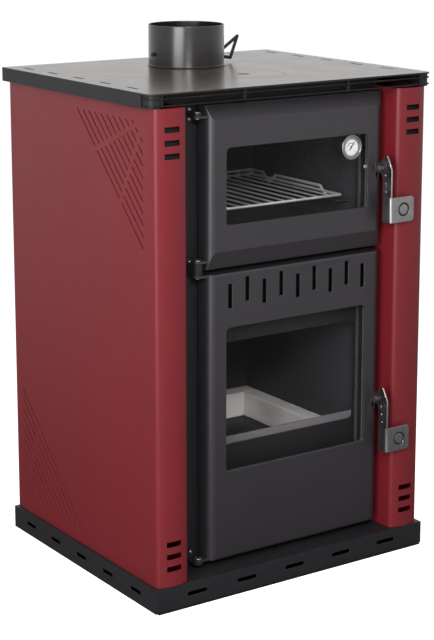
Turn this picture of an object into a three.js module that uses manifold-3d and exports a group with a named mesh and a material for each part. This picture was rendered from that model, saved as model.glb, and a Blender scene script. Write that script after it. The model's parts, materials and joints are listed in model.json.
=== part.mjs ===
// Wood-burning stove with an oven above the firebox, in millimetres.
// X runs to the viewer's right, Y to the back, Z up. The sizes below count from the plinth's middle.
import * as THREE from "three";
import { mergeGeometries, mergeVertices } from "three/addons/utils/BufferGeometryUtils.js";
import Module from "manifold-3d";

const wasm = await Module();
wasm.setup();

// Shared fits and facet counts
const seatGap = 0.3;
const cutOverrun = 2;
const roundSides = 28;
const pinSides = 12;
const wireSides = 8;
const cornerSteps = 3;
const ringSteps = 2;
const slotSteps = 2;
const crownSteps = 6;
const hexSides = 6;

// Plinth
const plinthWidth = 565;
const plinthDepth = 485;
const plinthHeight = 40;
const plinthSheet = 2;
const plinthFlange = 18;
const plinthSlotHeight = 7;
const plinthSlotRise = 1;
const frontSlotLength = 40;
const frontSlotEndInset = 82.5;
const sideSlotLength = 34;
const sideSlotEndInset = 62.5;
const plinthSlotCount = 5;

// Top plate, lid and grille
const topOverhang = 3.75;
const topFrontSetback = 3;
const topBackOverhang = 1.5;
const topThickness = 3;
const topCornerRadius = 12;
const skirtHeight = 24;
const skirtSheet = 2;
const topSlotLength = 33;
const topSlotWidth = 5;
const topSlotInset = 26;
const topSlotFrontSetback = 91.5;
const topSlotBackInset = 49.5;
const topSlotCount = 5;
const lidSetback = 158;
const lidRadius = 71;
const lidLedgeWidth = 7;
const lidLedgeThickness = 3;
const lidRim = 7;
const lidPlugDepth = 4;
const lidSlotLength = 22;
const lidSlotWidth = 9;
const lidSlotFloor = 2;
const lidSlotTurn = THREE.MathUtils.degToRad(-33);
const grilleReturn = 25;
const grilleDepth = 8;
const grilleBar = 2;
const grilleGapUpper = 4.5;
const grilleGapLower = 9.5;
const grillePostWidth = 4;
const grillePostInset = 24.25;
const grillePostShare = 0.4;

// Flue collar and damper
const collarSetback = 333.5;
const collarRadius = 67;
const collarSheet = 2;
const collarHeight = 72.5;
const collarFlangeWidth = 3;
const collarFlangeThickness = 2.5;
const damperLevel = 22;
const damperRadius = 60;
const damperThickness = 2;
const spindleRadius = 3;
const spindleClearance = 0.5;
const spindleTail = 5;
const damperWireEnd = 74.5;
const damperLoopReach = 35.5;
const damperLoopShares = [0.45, 0.52, 0.65];
const damperLoopRise = 24;
const damperLoopDrop = 15;
const damperClipWidth = 12;
const damperClipThickness = 2;

// Side panels
const panelSheet = 1.5;
const panelSideInset = 7.5;
const panelFrontInset = 1;
const panelBackInset = 5;
const stripWidth = 61;
const crownRadius = 85;
const stripCornerRadius = 9;
const panelBackFlange = 16;
const stripSlotLength = 28;
const stripSlotHeight = 9;
const stripSlotPitch = 21;
const stripSlotCount = 3;
const stripSlotDrop = 54.5;
const stripSlotRise = 52;
const slitWidth = 2.5;
const slitPitch = 19;
const slitCount = 11;
const slitBand = 9;
const slitBandShares = [0, 0.34, 0.7, 1];
const slitFieldFront = 37.5;
const slitFieldDrop = 20;
const slitFieldBack = 25.5;
const slitFieldRise = 25;

// Front frame and its openings
const frameSetback = 70;
const frameThickness = 4;
const frameStripLap = 8;
const openingWindowGap = 7;
const openingCornerRadius = 8;
const ovenOpeningBelowWindow = 21;
const ovenOpeningAboveWindow = 25;
const fireOpeningBottomMargin = 32;
const fireOpeningTopMargin = 37;
const ashOpeningHearthGap = 10;

// Doors
const doorLeftGap = 58;
const doorRightGap = 10;
const doorFaceSetback = 30.5;
const doorDepth = 34;
const doorSheet = 3;
const doorEdgeRadius = 15;
const fireDoorPlinthGap = 12;
const fireDoorHeight = 491;
const doorsGap = 8;
const ovenDoorHeight = 269;
const ovenDoorTopGap = 30;
const ovenBandTop = 25;
const ovenBandTopLean = 12;
const ovenBandBottom = 29;
const ovenBandBottomLean = 9;
const doorEdgeChamfer = 3;
const windowSideMargin = 34;
const windowCornerRadius = 9;
const ovenWindowBottomMargin = 70;
const ovenWindowTopMargin = 70;
const fireWindowBottomMargin = 151;
const fireWindowTopMargin = 92;
const airSlotCount = 9;
const airSlotEndInset = 7.6;
const airSlotWidth = 8;
const airSlotHeight = 41;
const airSlotDrop = 39;
const airSlotStagger = 8.5;

// Glass, its seal, the inner frame and the rope
const sealThickness = 2.7;
const sealShow = 1;
const glassOverlap = 10;
const glassThickness = 4;
const glassCornerRadius = 6;
const innerFrameSheet = 3;
const innerFrameWindowGap = 3;
const innerFrameDepth = 17.4;
const rimWall = 1.5;
const rimGap = 1;
const ropeWidth = 6;
const ropeGroove = 5;

// Hinges
const hingeSideGap = 14;
const hingeBehindFace = 14;
const hingeLugRadius = 8.5;
const hingeLugThickness = 4;
const hingePinRadius = 3.5;
const hingePinClearance = 0.3;
const hingePinHeadRadius = 6;
const hingePinHeadHeight = 3;
const hingePinTail = 2;
const hingeBaseHeight = 26;
const hingeBaseThickness = 3;
const hingeBaseWidth = 20;
const ovenTopLugDrop = 16;
const ovenBottomLugRise = 12;

// Latch levers and keepers
const leverPlateInset = 14;
const leverSheet = 3;
const leverPivotReach = 12;
const ovenLeverRise = 139;
const fireLeverRise = 229;
const leverFrontReach = 28;
const leverBackReach = 5;
const leverHubRadius = 9;
const leverTopRise = 23;
const leverTopShare = 0.52;
const leverTabDrop = 48.5;
const leverTabHeight = 44;
const leverTabWidth = 51;
const leverBendRadius = 6;
const leverTabCorner = 7;
const leverRingRadius = 12;
const leverRingWidth = 3;
const leverRingDepth = 1;
const leverHoleRadius = 2.5;
const leverHolePitch = 14;
const leverHoleCount = 3;
const leverHoleFirstDrop = 10.5;
const leverHoleReach = 13.6;
const leverHoleStep = 1.2;
const leverArmReach = 44;
const leverArmHeight = 10;
const leverNoseRise = 2.4;
const leverNoseLength = 8;
const leverSlotClearance = 1.2;
const leverSlotDrop = 18;
const leverSlotRise = 8;
const earGap = 0.3;
const earSheet = 3;
const earRadius = 8.5;
const pivotPinRadius = 3;
const pivotPinClearance = 0.3;
const pivotHeadRadius = 5;
const pivotHeadHeight = 2;
const keeperSheet = 3;
const keeperEarGap = 3.5;
const keeperBaseWidth = 8;
const keeperReach = 19.5;
const keeperPinRadius = 4;
const keeperPinOverlap = 1.5;
const keeperHeight = 26;

// Thermometer in the oven window
const dialSideInset = 40;
const dialDrop = 20;
const dialBezelRadius = 21;
const dialNeckRadius = 17;
const dialBezelDepth = 6;
const dialBezelStand = 1;
const dialRim = 2.5;
const dialRecess = 4;
const dialFaceThickness = 0.8;
const dialLensThickness = 1;
const dialStemRadius = 4.5;
const dialStemClearance = 0.4;
const dialNutRadius = 9;
const dialNutHeight = 3.5;
const dialStemTail = 3;
const needleLength = 12;
const needleTail = 6;
const needleWidth = 1.4;
const needleThickness = 0.6;
const needleHubRadius = 2;
const needleHoleRadius = 0.9;
const needlePostRadius = 0.6;
const needleTurn = THREE.MathUtils.degToRad(50);
const needleFloat = 0.2;

// Welded body, oven, baffle and hearth
const bodyFrameInset = 17;
const bodySheet = 4;
const bodyBackInset = 52.5;
const bodyFloorRise = 28;
const ovenBoxSideGap = 17;
const ovenBoxSheet = 2;
const ovenBoxBackGap = 30.2;
const ovenBoxBelowOpening = 16;
const ovenBoxAboveOpening = 10;
const baffleOvenGap = 54;
const baffleThickness = 4;
const baffleSmokeGap = 51;
const baffleBackGap = 56;
const hearthWindowDrop = 47;
const hearthThickness = 4;
const grateSideGap = 48.7;
const grateEndGap = 59.25;
const grateLap = 10;
const grateThickness = 8;
const grateSlotEndInset = 39;
const grateSlotShare = 0.5;
const grateSlotCount = 10;
const grateMargin = 14;
const grateRib = 10;
const brickThickness = 32;
const brickRise = 48.5;
const logGuardRise = 13;
const logGuardSheet = 3;
const logGuardFoot = 24;
const brickBackThickness = 35.4;

// Ash pan
const ashPanSideGap = 11;
const ashPanBackGap = 38.2;
const ashPanHeight = 56;
const ashPanSheet = 1.5;
const ashPanFrontSetback = 26;
const ashPanGripWidth = 90;
const ashPanGripReach = 14;
const ashPanGripHeight = 16;

// Oven rack and runners
const rackSideGap = 3;
const rackFrontSetback = 32;
const rackBackGap = 24;
const rackRise = 38;
const rackBarRadius = 2.5;
const rackWireRadius = 1.5;
const rackWireCount = 11;
const rackWireEndInset = 31.5;
const rackWireTip = 3;
const rackPlaneRise = 8;
const rackRailRise = 16;
const rackNotchReach = 20;
const rackFrontNotchSetback = 38;
const rackBackNotchSetback = 57;
const runnerSheet = 2;
const runnerHeight = 16;
const runnerReach = 6;

// Rear cover, air duct and air slide
const rearSheet = 1.5;
const rearSkirtGap = 4;
const rearSlotCount = 9;
const rearSlotEndInset = 97.2;
const rearSlotWidth = 6;
const rearSlotHeight = 46;
const rearSlotDrop = 62;
const rearSlotRise = 160;
const airWindowWidth = 60;
const airWindowHeight = 24;
const airWindowRise = 56;
const airPanelHeight = 90;
const airDuctSheet = 1.5;
const airSlideMargin = 5;
const airSlideSheet = 1.5;
const airSlideTravel = 62;
const airRailSheet = 1.5;
const airRailLip = 4;
const airTabReach = 4;
const airTabWidth = 1.5;

// Places across the stove, worked out from the plinth inwards
const topHalfWidth = plinthWidth / 2 + topOverhang;
const panelHalfWidth = plinthWidth / 2 - panelSideInset;
const stripInnerX = panelHalfWidth - stripWidth;
const stripMiddleX = panelHalfWidth - stripWidth / 2;
const frameHalfWidth = stripInnerX + frameStripLap;
const doorLeftX = doorLeftGap - stripInnerX;
const doorRightX = stripInnerX - doorRightGap;
const doorOffset = (doorLeftX + doorRightX) / 2;
const windowHalfWidth = (doorRightX - doorLeftX) / 2 - windowSideMargin;
const openingHalfWidth = windowHalfWidth + openingWindowGap;
const rimInner = openingHalfWidth + rimGap;
const ropeInner = rimInner + rimWall;
const ropeOuter = ropeInner + ropeWidth;
const rimOuter = ropeOuter + rimWall;
const hingeX = doorLeftX - hingeSideGap;
const leverX = doorRightX - leverPlateInset;
const dialX = doorOffset + windowHalfWidth - dialSideInset;
const bodyHalfWidth = frameHalfWidth - bodyFrameInset;
const bodyInnerX = bodyHalfWidth - bodySheet;
const brickInnerX = bodyInnerX - seatGap - brickThickness;
const ovenBoxHalfWidth = openingHalfWidth + ovenBoxSideGap;
const rackHalfWidth = openingHalfWidth - rackSideGap;

// Places from front to back
const frontY = -plinthDepth / 2;
const backY = plinthDepth / 2;
const topFrontY = frontY + topFrontSetback;
const topBackY = backY + topBackOverhang;
const lidY = frontY + lidSetback;
const collarY = frontY + collarSetback;
const panelFrontY = frontY + panelFrontInset;
const panelBackY = backY - panelBackInset;
const frameY = frontY + frameSetback;
const frameBackY = frameY + frameThickness;
const doorFaceY = frontY + doorFaceSetback;
const doorBackY = doorFaceY + doorDepth;
const sealFrontY = doorFaceY + doorSheet + seatGap;
const glassFrontY = sealFrontY + sealThickness + seatGap;
const glassBackY = glassFrontY + glassThickness;
const innerFrameY = glassBackY + seatGap;
const innerFrameBackY = innerFrameY + innerFrameDepth;
const hingeY = doorFaceY + hingeBehindFace;
const pivotY = doorFaceY - leverPivotReach;
const bodyFrontY = frameBackY + seatGap;
const bodyBackY = backY - bodyBackInset;
const bodyInnerBackY = bodyBackY - bodySheet;
const brickBackY = bodyInnerBackY - seatGap - brickBackThickness;
const ovenBackY = bodyInnerBackY - ovenBoxBackGap;
const rackFrontY = bodyFrontY + rackFrontSetback;
const rackBackY = ovenBackY - rackBackGap;

// Levels, stacked from the plinth to the top plate
const fireDoorBottom = plinthHeight + fireDoorPlinthGap;
const fireDoorTop = fireDoorBottom + fireDoorHeight;
const ovenDoorBottom = fireDoorTop + doorsGap;
const ovenDoorTop = ovenDoorBottom + ovenDoorHeight;
const topHeight = ovenDoorTop + ovenDoorTopGap;
const topUnder = topHeight - topThickness;
const skirtBottom = topHeight - skirtHeight;
const structureBottom = plinthHeight + seatGap;
const structureTop = topUnder - seatGap;
const damperZ = topHeight + damperLevel;
const fireWindowBottom = fireDoorBottom + fireWindowBottomMargin;
const fireWindowTop = fireDoorTop - fireWindowTopMargin;
const ovenWindowBottom = ovenDoorBottom + ovenWindowBottomMargin;
const ovenWindowTop = ovenDoorTop - ovenWindowTopMargin;
const airSlotLevel = fireDoorTop - airSlotDrop;
const bodyFloorTop = plinthHeight + bodyFloorRise;
const hearthTop = fireWindowBottom - hearthWindowDrop;
const brickTop = hearthTop + brickRise;
const fireOpeningBottom = fireWindowBottom + fireOpeningBottomMargin;
const fireOpeningTop = fireWindowTop - fireOpeningTopMargin;
const logGuardTop = fireOpeningBottom + logGuardRise;
const ashOpeningBottom = bodyFloorTop;
const ashOpeningTop = hearthTop - hearthThickness - ashOpeningHearthGap;
const ovenOpeningBottom = ovenWindowBottom - ovenOpeningBelowWindow;
const ovenOpeningTop = ovenWindowTop + ovenOpeningAboveWindow;
const ovenBoxBottom = ovenOpeningBottom - ovenBoxBelowOpening;
const ovenBoxTop = ovenOpeningTop + ovenBoxAboveOpening;
const baffleLevel = ovenBoxBottom - baffleOvenGap;
const rackLevel = ovenBoxBottom + rackRise;
const dialLevel = ovenWindowTop - dialDrop;
const ovenPivotZ = ovenDoorBottom + ovenLeverRise;
const firePivotZ = fireDoorBottom + fireLeverRise;
const ovenLugTopZ = ovenDoorTop - ovenTopLugDrop;
const ovenLugBottomZ = ovenDoorBottom + ovenBottomLugRise;
const airWindowLevel = plinthHeight + airWindowRise;
const airPanelTop = structureBottom + airPanelHeight;

// Materials
function paint(colour, roughness, metalness) {
  return new THREE.MeshStandardMaterial({ color: colour, roughness, metalness });
}
const red = paint(0x7d2d34, 0.45, 0.2);
const charcoal = paint(0x454346, 0.55, 0.3);
const black = paint(0x232224, 0.6, 0.3);
const satinBlack = paint(0x2e2a28, 0.35, 0.5);
const soot = paint(0x28262a, 0.85, 0.1);
const castIron = paint(0x2b2a2c, 0.8, 0.4);
const chrome = paint(0xc9c9cc, 0.15, 1);
const zinc = paint(0x9a9a9e, 0.35, 0.9);
const firebrick = paint(0xbdb9b6, 0.95, 0);
const ceramicRope = paint(0x6a686a, 0.95, 0);
const clearGlass = paint(0x9aa09c, 0.05, 0);
clearGlass.transparent = true;
clearGlass.opacity = 0.3;
const dialWhite = paint(0xe6e6e2, 0.6, 0);
const needleBlack = paint(0x151515, 0.5, 0.2);

const stove = new THREE.Group();

// Solids from three.js geometries, and the joins and cuts between them
function solidOf(geometry) {
  const bare = new THREE.BufferGeometry();
  const source = geometry.index ? geometry.toNonIndexed() : geometry;
  bare.setAttribute("position", source.getAttribute("position"));
  const merged = mergeVertices(bare);
  return new wasm.Manifold(
    new wasm.Mesh({
      numProp: 3,
      vertProperties: merged.attributes.position.array,
      triVerts: new Uint32Array(merged.index.array),
    }),
  );
}

function geometryOf(solid) {
  const mesh = solid.getMesh();
  const geometry = new THREE.BufferGeometry();
  geometry.setAttribute("position", new THREE.BufferAttribute(mesh.vertProperties, 3));
  geometry.setIndex(new THREE.BufferAttribute(mesh.triVerts, 1));
  geometry.computeVertexNormals();
  return geometry;
}

function addPart(name, solid, material) {
  const mesh = new THREE.Mesh(geometryOf(solid), material);
  mesh.name = name;
  stove.add(mesh);
  return mesh;
}

function join(...solids) {
  return solids.reduce((whole, next) => whole.add(next));
}

function cut(whole, ...tools) {
  return tools.reduce((left, tool) => left.subtract(tool), whole);
}

// A box between two opposite corners
function box(x0, x1, y0, y1, z0, z1) {
  const geometry = new THREE.BoxGeometry(x1 - x0, y1 - y0, z1 - z0);
  geometry.translate((x0 + x1) / 2, (y0 + y1) / 2, (z0 + z1) / 2);
  return solidOf(geometry);
}

// A flat outline pushed along one axis: the outline lies in (x, y), (y, z) or (x, z)
function prism(axis, outline, from, to, steps = cornerSteps) {
  const geometry = new THREE.ExtrudeGeometry(outline, {
    depth: to - from,
    bevelEnabled: false,
    curveSegments: steps,
  });
  const turn = new THREE.Matrix4();
  const [ex, ey, ez] = [
    new THREE.Vector3(1, 0, 0),
    new THREE.Vector3(0, 1, 0),
    new THREE.Vector3(0, 0, 1),
  ];
  if (axis === "x") turn.makeBasis(ey, ez, ex).setPosition(from, 0, 0);
  if (axis === "y") turn.makeBasis(ex, ez, ey.negate()).setPosition(0, to, 0);
  if (axis === "z") turn.setPosition(0, 0, from);
  geometry.applyMatrix4(turn);
  return solidOf(geometry);
}

function rod(axis, radius, from, to, a, b, sides = pinSides) {
  const geometry = new THREE.CylinderGeometry(radius, radius, to - from, sides);
  const middle = (from + to) / 2;
  if (axis === "x") geometry.rotateZ(Math.PI / 2).translate(middle, a, b);
  if (axis === "y") geometry.translate(a, middle, b);
  if (axis === "z") geometry.rotateX(Math.PI / 2).translate(a, b, middle);
  return solidOf(geometry);
}

// A turned piece: profile points are [radius, height], and it stands along Z or looks along -Y
function turned(profile, sides = roundSides) {
  const make = (points) => solidOf(new THREE.LatheGeometry(points, sides));
  const points = profile.map(([r, h]) => new THREE.Vector2(r, h));
  const made = make(points);
  return made.volume() < 0 ? make(points.reverse()) : made;
}

function outlineOf(points) {
  return new THREE.Shape(points.map(([a, b]) => new THREE.Vector2(a, b)));
}

function roundedRectangle(a0, a1, b0, b1, radius) {
  const shape = new THREE.Shape();
  shape.moveTo(a0 + radius, b0);
  shape.lineTo(a1 - radius, b0);
  shape.absarc(a1 - radius, b0 + radius, radius, -Math.PI / 2, 0);
  shape.lineTo(a1, b1 - radius);
  shape.absarc(a1 - radius, b1 - radius, radius, 0, Math.PI / 2);
  shape.lineTo(a0 + radius, b1);
  shape.absarc(a0 + radius, b1 - radius, radius, Math.PI / 2, Math.PI);
  shape.lineTo(a0, b0 + radius);
  shape.absarc(a0 + radius, b0 + radius, radius, Math.PI, 1.5 * Math.PI);
  return shape;
}

function slotOutline(a, b, length, width) {
  return roundedRectangle(
    a - length / 2,
    a + length / 2,
    b - width / 2,
    b + width / 2,
    Math.min(length, width) / 2,
  );
}

// A row of places, centred on the middle, or spread evenly from end to end
function row(count, pitch, middle = 0) {
  return Array.from({ length: count }, (_, i) => middle + (i - (count - 1) / 2) * pitch);
}

function spread(count, first, last) {
  return row(count, (last - first) / (count - 1), (first + last) / 2);
}

function arcPoints(centre, radius, from, to, steps) {
  return Array.from({ length: steps + 1 }, (_, i) => {
    const angle = from + ((to - from) * i) / steps;
    return [centre[0] + radius * Math.cos(angle), centre[1] + radius * Math.sin(angle)];
  });
}

// Sheet metal: a path of points given the sheet's thickness on its right-hand side
function sheetOutline(path, sheet) {
  const normals = path.slice(1).map(([x, y], i) => {
    const dx = x - path[i][0];
    const dy = y - path[i][1];
    const length = Math.hypot(dx, dy);
    return [dy / length, -dx / length];
  });
  const inner = path.map(([x, y], i) => {
    const a = normals[Math.max(i - 1, 0)];
    const b = normals[Math.min(i, normals.length - 1)];
    const reach = sheet / (1 + a[0] * b[0] + a[1] * b[1]);
    return [x + (a[0] + b[0]) * reach, y + (a[1] + b[1]) * reach];
  });
  return outlineOf([...path, ...inner.reverse()]);
}

// A bent wire through a list of places
function wire(places, radius, sides = wireSides) {
  const points = places.map((p) => new THREE.Vector3(...p));
  const path = new THREE.CurvePath();
  points.slice(1).forEach((p, i) => path.add(new THREE.LineCurve3(points[i], p)));
  const legs = path.curves.map((leg) => {
    const geometry = new THREE.CylinderGeometry(radius, radius, leg.getLength(), sides);
    const along = leg.v2.clone().sub(leg.v1).normalize();
    const up = new THREE.Vector3(0, 1, 0);
    geometry.applyQuaternion(new THREE.Quaternion().setFromUnitVectors(up, along));
    const middle = leg.v1.clone().add(leg.v2).divideScalar(2);
    geometry.translate(middle.x, middle.y, middle.z);
    return solidOf(geometry);
  });
  const knees = points.slice(1, -1).map((p) => {
    const ball = new THREE.SphereGeometry(radius, sides, sides / 2);
    ball.translate(p.x, p.y, p.z);
    return solidOf(ball);
  });
  return join(...legs, ...knees);
}

// Plinth: a folded tray that stands on its inward flange, with a row of slots in every side
function plinth() {
  const w = plinthWidth / 2;
  const d = plinthDepth / 2;
  const shell = cut(
    box(-w, w, -d, d, 0, plinthHeight),
    box(
      plinthSheet - w,
      w - plinthSheet,
      plinthSheet - d,
      d - plinthSheet,
      plinthSheet,
      plinthHeight - plinthSheet,
    ),
    box(
      plinthFlange - w,
      w - plinthFlange,
      plinthFlange - d,
      d - plinthFlange,
      -cutOverrun,
      plinthSheet + cutOverrun,
    ),
  );
  const level = plinthHeight / 2 + plinthSlotRise;
  const frontEnd = w - frontSlotEndInset;
  const frontSlots = spread(plinthSlotCount, -frontEnd, frontEnd).map((x) =>
    prism(
      "y",
      slotOutline(x, level, frontSlotLength, plinthSlotHeight),
      -d - cutOverrun,
      d + cutOverrun,
      slotSteps,
    ),
  );
  const sideEnd = d - sideSlotEndInset;
  const sideSlots = spread(plinthSlotCount, -sideEnd, sideEnd).map((y) =>
    prism(
      "x",
      slotOutline(y, level, sideSlotLength, plinthSlotHeight),
      -w - cutOverrun,
      w + cutOverrun,
      slotSteps,
    ),
  );
  return cut(shell, ...frontSlots, ...sideSlots);
}
addPart("base_plinth", plinth(), black);

// Front frame: the plate that the doors close on, with the oven, fire and ash openings
function frontFrame() {
  const plate = box(
    -frameHalfWidth,
    frameHalfWidth,
    frameY,
    frameBackY,
    structureBottom,
    structureTop,
  );
  const openings = [
    [ovenOpeningBottom, ovenOpeningTop],
    [fireOpeningBottom, fireOpeningTop],
    [ashOpeningBottom, ashOpeningTop],
  ].map(([bottom, top]) =>
    prism(
      "y",
      roundedRectangle(
        doorOffset - openingHalfWidth,
        doorOffset + openingHalfWidth,
        bottom,
        top,
        openingCornerRadius,
      ),
      frameY - cutOverrun,
      frameBackY + cutOverrun,
    ),
  );
  return cut(plate, ...openings);
}
addPart("front_frame", frontFrame(), black);

// Body: side walls joined by the ash floor, and the back wall with the air inlet
function firebox() {
  const wallBackY = bodyInnerBackY - seatGap;
  const walls = [-1, 1].map((side) =>
    box(
      Math.min(side * bodyInnerX, side * bodyHalfWidth),
      Math.max(side * bodyInnerX, side * bodyHalfWidth),
      bodyFrontY,
      wallBackY,
      structureBottom,
      structureTop,
    ),
  );
  const floor = box(
    -bodyInnerX - bodySheet / 2,
    bodyInnerX + bodySheet / 2,
    bodyFrontY,
    wallBackY,
    bodyFloorTop - bodySheet,
    bodyFloorTop,
  );
  return join(floor, ...walls);
}
addPart("firebox_body", firebox(), soot);

function fireboxBack() {
  return cut(
    box(
      -bodyHalfWidth,
      bodyHalfWidth,
      bodyInnerBackY,
      bodyBackY,
      structureBottom,
      structureTop,
    ),
    box(
      -airWindowWidth / 2,
      airWindowWidth / 2,
      bodyInnerBackY - cutOverrun,
      bodyBackY + cutOverrun,
      airWindowLevel - airWindowHeight / 2,
      airWindowLevel + airWindowHeight / 2,
    ),
  );
}
addPart("firebox_back", fireboxBack(), soot);

// Oven box: a folded liner, open to the front
function ovenBox() {
  const left = doorOffset - ovenBoxHalfWidth;
  const right = doorOffset + ovenBoxHalfWidth;
  return cut(
    box(
      left - ovenBoxSheet,
      right + ovenBoxSheet,
      bodyFrontY,
      ovenBackY + ovenBoxSheet,
      ovenBoxBottom - ovenBoxSheet,
      ovenBoxTop + ovenBoxSheet,
    ),
    box(left, right, bodyFrontY - cutOverrun, ovenBackY, ovenBoxBottom, ovenBoxTop),
  );
}
addPart("oven_box", ovenBox(), soot);

// Baffle under the oven: it leaves a smoke gap on the left and at the back
addPart(
  "smoke_baffle",
  box(
    baffleSmokeGap - bodyInnerX,
    bodyInnerX - seatGap,
    bodyFrontY,
    bodyInnerBackY - baffleBackGap,
    baffleLevel,
    baffleLevel + baffleThickness,
  ),
  soot,
);

// Hearth plate, grate and firebricks
const grateFrontY = bodyFrontY + grateEndGap;
const grateBackY = brickBackY - grateEndGap;
const grateHalfWidth = brickInnerX - grateSideGap;
function hearthPlate() {
  return cut(
    box(
      seatGap - bodyInnerX,
      bodyInnerX - seatGap,
      bodyFrontY,
      bodyInnerBackY - seatGap,
      hearthTop - hearthThickness,
      hearthTop,
    ),
    box(
      grateLap - grateHalfWidth,
      grateHalfWidth - grateLap,
      grateFrontY + grateLap,
      grateBackY - grateLap,
      hearthTop - hearthThickness - cutOverrun,
      hearthTop + cutOverrun,
    ),
  );
}
addPart("hearth_plate", hearthPlate(), soot);

function grate() {
  const bottom = hearthTop + seatGap;
  const top = bottom + grateThickness;
  const plate = box(-grateHalfWidth, grateHalfWidth, grateFrontY, grateBackY, bottom, top);
  const slotEnd = grateHalfWidth - grateSlotEndInset;
  const places = spread(grateSlotCount, -slotEnd, slotEnd);
  const slotHalf = (grateSlotShare * (places[1] - places[0])) / 2;
  const middle = (grateFrontY + grateBackY) / 2;
  const slots = places.flatMap((x) =>
    [
      [grateFrontY + grateMargin, middle - grateRib / 2],
      [middle + grateRib / 2, grateBackY - grateMargin],
    ].map(([from, to]) =>
      box(x - slotHalf, x + slotHalf, from, to, bottom - cutOverrun, top + cutOverrun),
    ),
  );
  return cut(plate, ...slots);
}
addPart("grate", grate(), castIron);

for (const [name, side] of [
  ["firebrick_left", -1],
  ["firebrick_right", 1],
]) {
  const outer = side * (bodyInnerX - seatGap);
  const inner = side * brickInnerX;
  addPart(
    name,
    box(
      Math.min(inner, outer),
      Math.max(inner, outer),
      bodyFrontY + logGuardFoot + seatGap,
      brickBackY - seatGap,
      hearthTop + seatGap,
      brickTop,
    ),
    firebrick,
  );
}
addPart(
  "firebrick_back",
  box(
    seatGap - bodyInnerX,
    bodyInnerX - seatGap,
    brickBackY,
    bodyInnerBackY - seatGap,
    hearthTop + seatGap,
    brickTop,
  ),
  firebrick,
);

// Log guard: a bent plate that stands on the hearth behind the fire opening
function logGuard() {
  const path = [
    [bodyFrontY + logGuardSheet, logGuardTop],
    [bodyFrontY + logGuardSheet, hearthTop + seatGap + logGuardSheet],
    [bodyFrontY + logGuardFoot, hearthTop + seatGap + logGuardSheet],
  ];
  return prism("x", sheetOutline(path, logGuardSheet), seatGap - bodyInnerX, bodyInnerX - seatGap);
}
addPart("log_guard", logGuard(), soot);

// Ash pan: an open tray with a folded grip
function ashPan() {
  const w = openingHalfWidth - ashPanSideGap;
  const front = bodyFrontY + ashPanFrontSetback;
  const back = bodyInnerBackY - ashPanBackGap;
  const bottom = bodyFloorTop + seatGap;
  const tray = cut(
    box(
      doorOffset - w,
      doorOffset + w,
      front,
      back,
      bottom,
      bottom + ashPanHeight,
    ),
    box(
      doorOffset - w + ashPanSheet,
      doorOffset + w - ashPanSheet,
      front + ashPanSheet,
      back - ashPanSheet,
      bottom + ashPanSheet,
      bottom + ashPanHeight + cutOverrun,
    ),
  );
  const gripTop = bottom + ashPanHeight - ashPanGripHeight / 2;
  const grip = prism(
    "x",
    sheetOutline(
      [
        [front + ashPanSheet, gripTop],
        [front - ashPanGripReach, gripTop],
        [front - ashPanGripReach, gripTop - ashPanGripHeight],
      ].reverse(),
      ashPanSheet,
    ),
    doorOffset - ashPanGripWidth / 2,
    doorOffset + ashPanGripWidth / 2,
  );
  return join(tray, grip);
}
addPart("ash_pan", ashPan(), zinc);

// Side panels: flank, crowned front strip, side and back flange folded from one sheet
function panelPath() {
  const crownY = panelFrontY + crownRadius;
  const half = stripWidth / 2;
  const cornerX = half - stripCornerRadius;
  const drop = Math.sqrt((crownRadius - stripCornerRadius) ** 2 - cornerX ** 2);
  const tilt = Math.asin(cornerX / (crownRadius - stripCornerRadius));
  const down = -Math.PI / 2;
  const corner = (side) => [stripMiddleX + side * cornerX, crownY - drop];
  return [
    [panelHalfWidth - panelBackFlange, panelBackY],
    [panelHalfWidth, panelBackY],
    ...arcPoints(corner(1), stripCornerRadius, 0, down + tilt, cornerSteps),
    ...arcPoints([stripMiddleX, crownY], crownRadius, down + tilt, down - tilt, crownSteps).slice(
      1,
      -1,
    ),
    ...arcPoints(corner(-1), stripCornerRadius, down - tilt, -Math.PI, cornerSteps),
    [stripInnerX, frameY - seatGap],
  ];
}

// Slits of one field: lines at 45 degrees that grow from its corner, broken by plain bands
function slitField(cornerY, cornerZ, direction, x) {
  const depth = panelSheet + cutOverrun;
  const slits = [];
  for (let line = 1; line <= slitCount; line += 1) {
    const leg = line * slitPitch;
    const length = Math.hypot(leg, leg);
    const middleY = cornerY + (direction * leg) / 2;
    const middleZ = cornerZ - (direction * leg) / 2;
    slitBandShares.slice(1).forEach((share, i) => {
      const from = slitBandShares[i] * length + slitBand / 2;
      const to = share * length - slitBand / 2;
      if (to - from < slitBand / 2) return;
      const along = (from + to - length) / 2;
      const slit = new THREE.BoxGeometry(2 * depth, to - from, slitWidth);
      slit.translate(0, along, 0);
      slit.rotateX(Math.PI / 4);
      slit.translate(x, middleY, middleZ);
      slits.push(slit);
    });
  }
  return solidOf(mergeGeometries(slits.map((slit) => slit.toNonIndexed())));
}

function sidePanel(side) {
  const path = panelPath();
  const mirrored = new THREE.Matrix4().makeScale(side, 1, 1);
  const outline = sheetOutline(path, panelSheet).getPoints();
  const placed = outline.map((p) => {
    const q = new THREE.Vector3(p.x, p.y, 0).applyMatrix4(mirrored);
    return [q.x, q.y];
  });
  const sheet = prism("z", outlineOf(placed), structureBottom, skirtBottom);
  const slots = [skirtBottom - stripSlotDrop, plinthHeight + stripSlotRise].flatMap((middle) =>
    row(stripSlotCount, stripSlotPitch, middle).map((z) =>
      box(
        side * stripMiddleX - stripSlotLength / 2,
        side * stripMiddleX + stripSlotLength / 2,
        panelFrontY - cutOverrun,
        panelFrontY + panelSheet + 2 * cutOverrun,
        z - stripSlotHeight / 2,
        z + stripSlotHeight / 2,
      ),
    ),
  );
  const x = side * panelHalfWidth;
  return cut(
    sheet,
    ...slots,
    slitField(frontY + slitFieldFront, skirtBottom - slitFieldDrop, 1, x),
    slitField(backY - slitFieldBack, plinthHeight + slitFieldRise, -1, x),
  );
}
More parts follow.
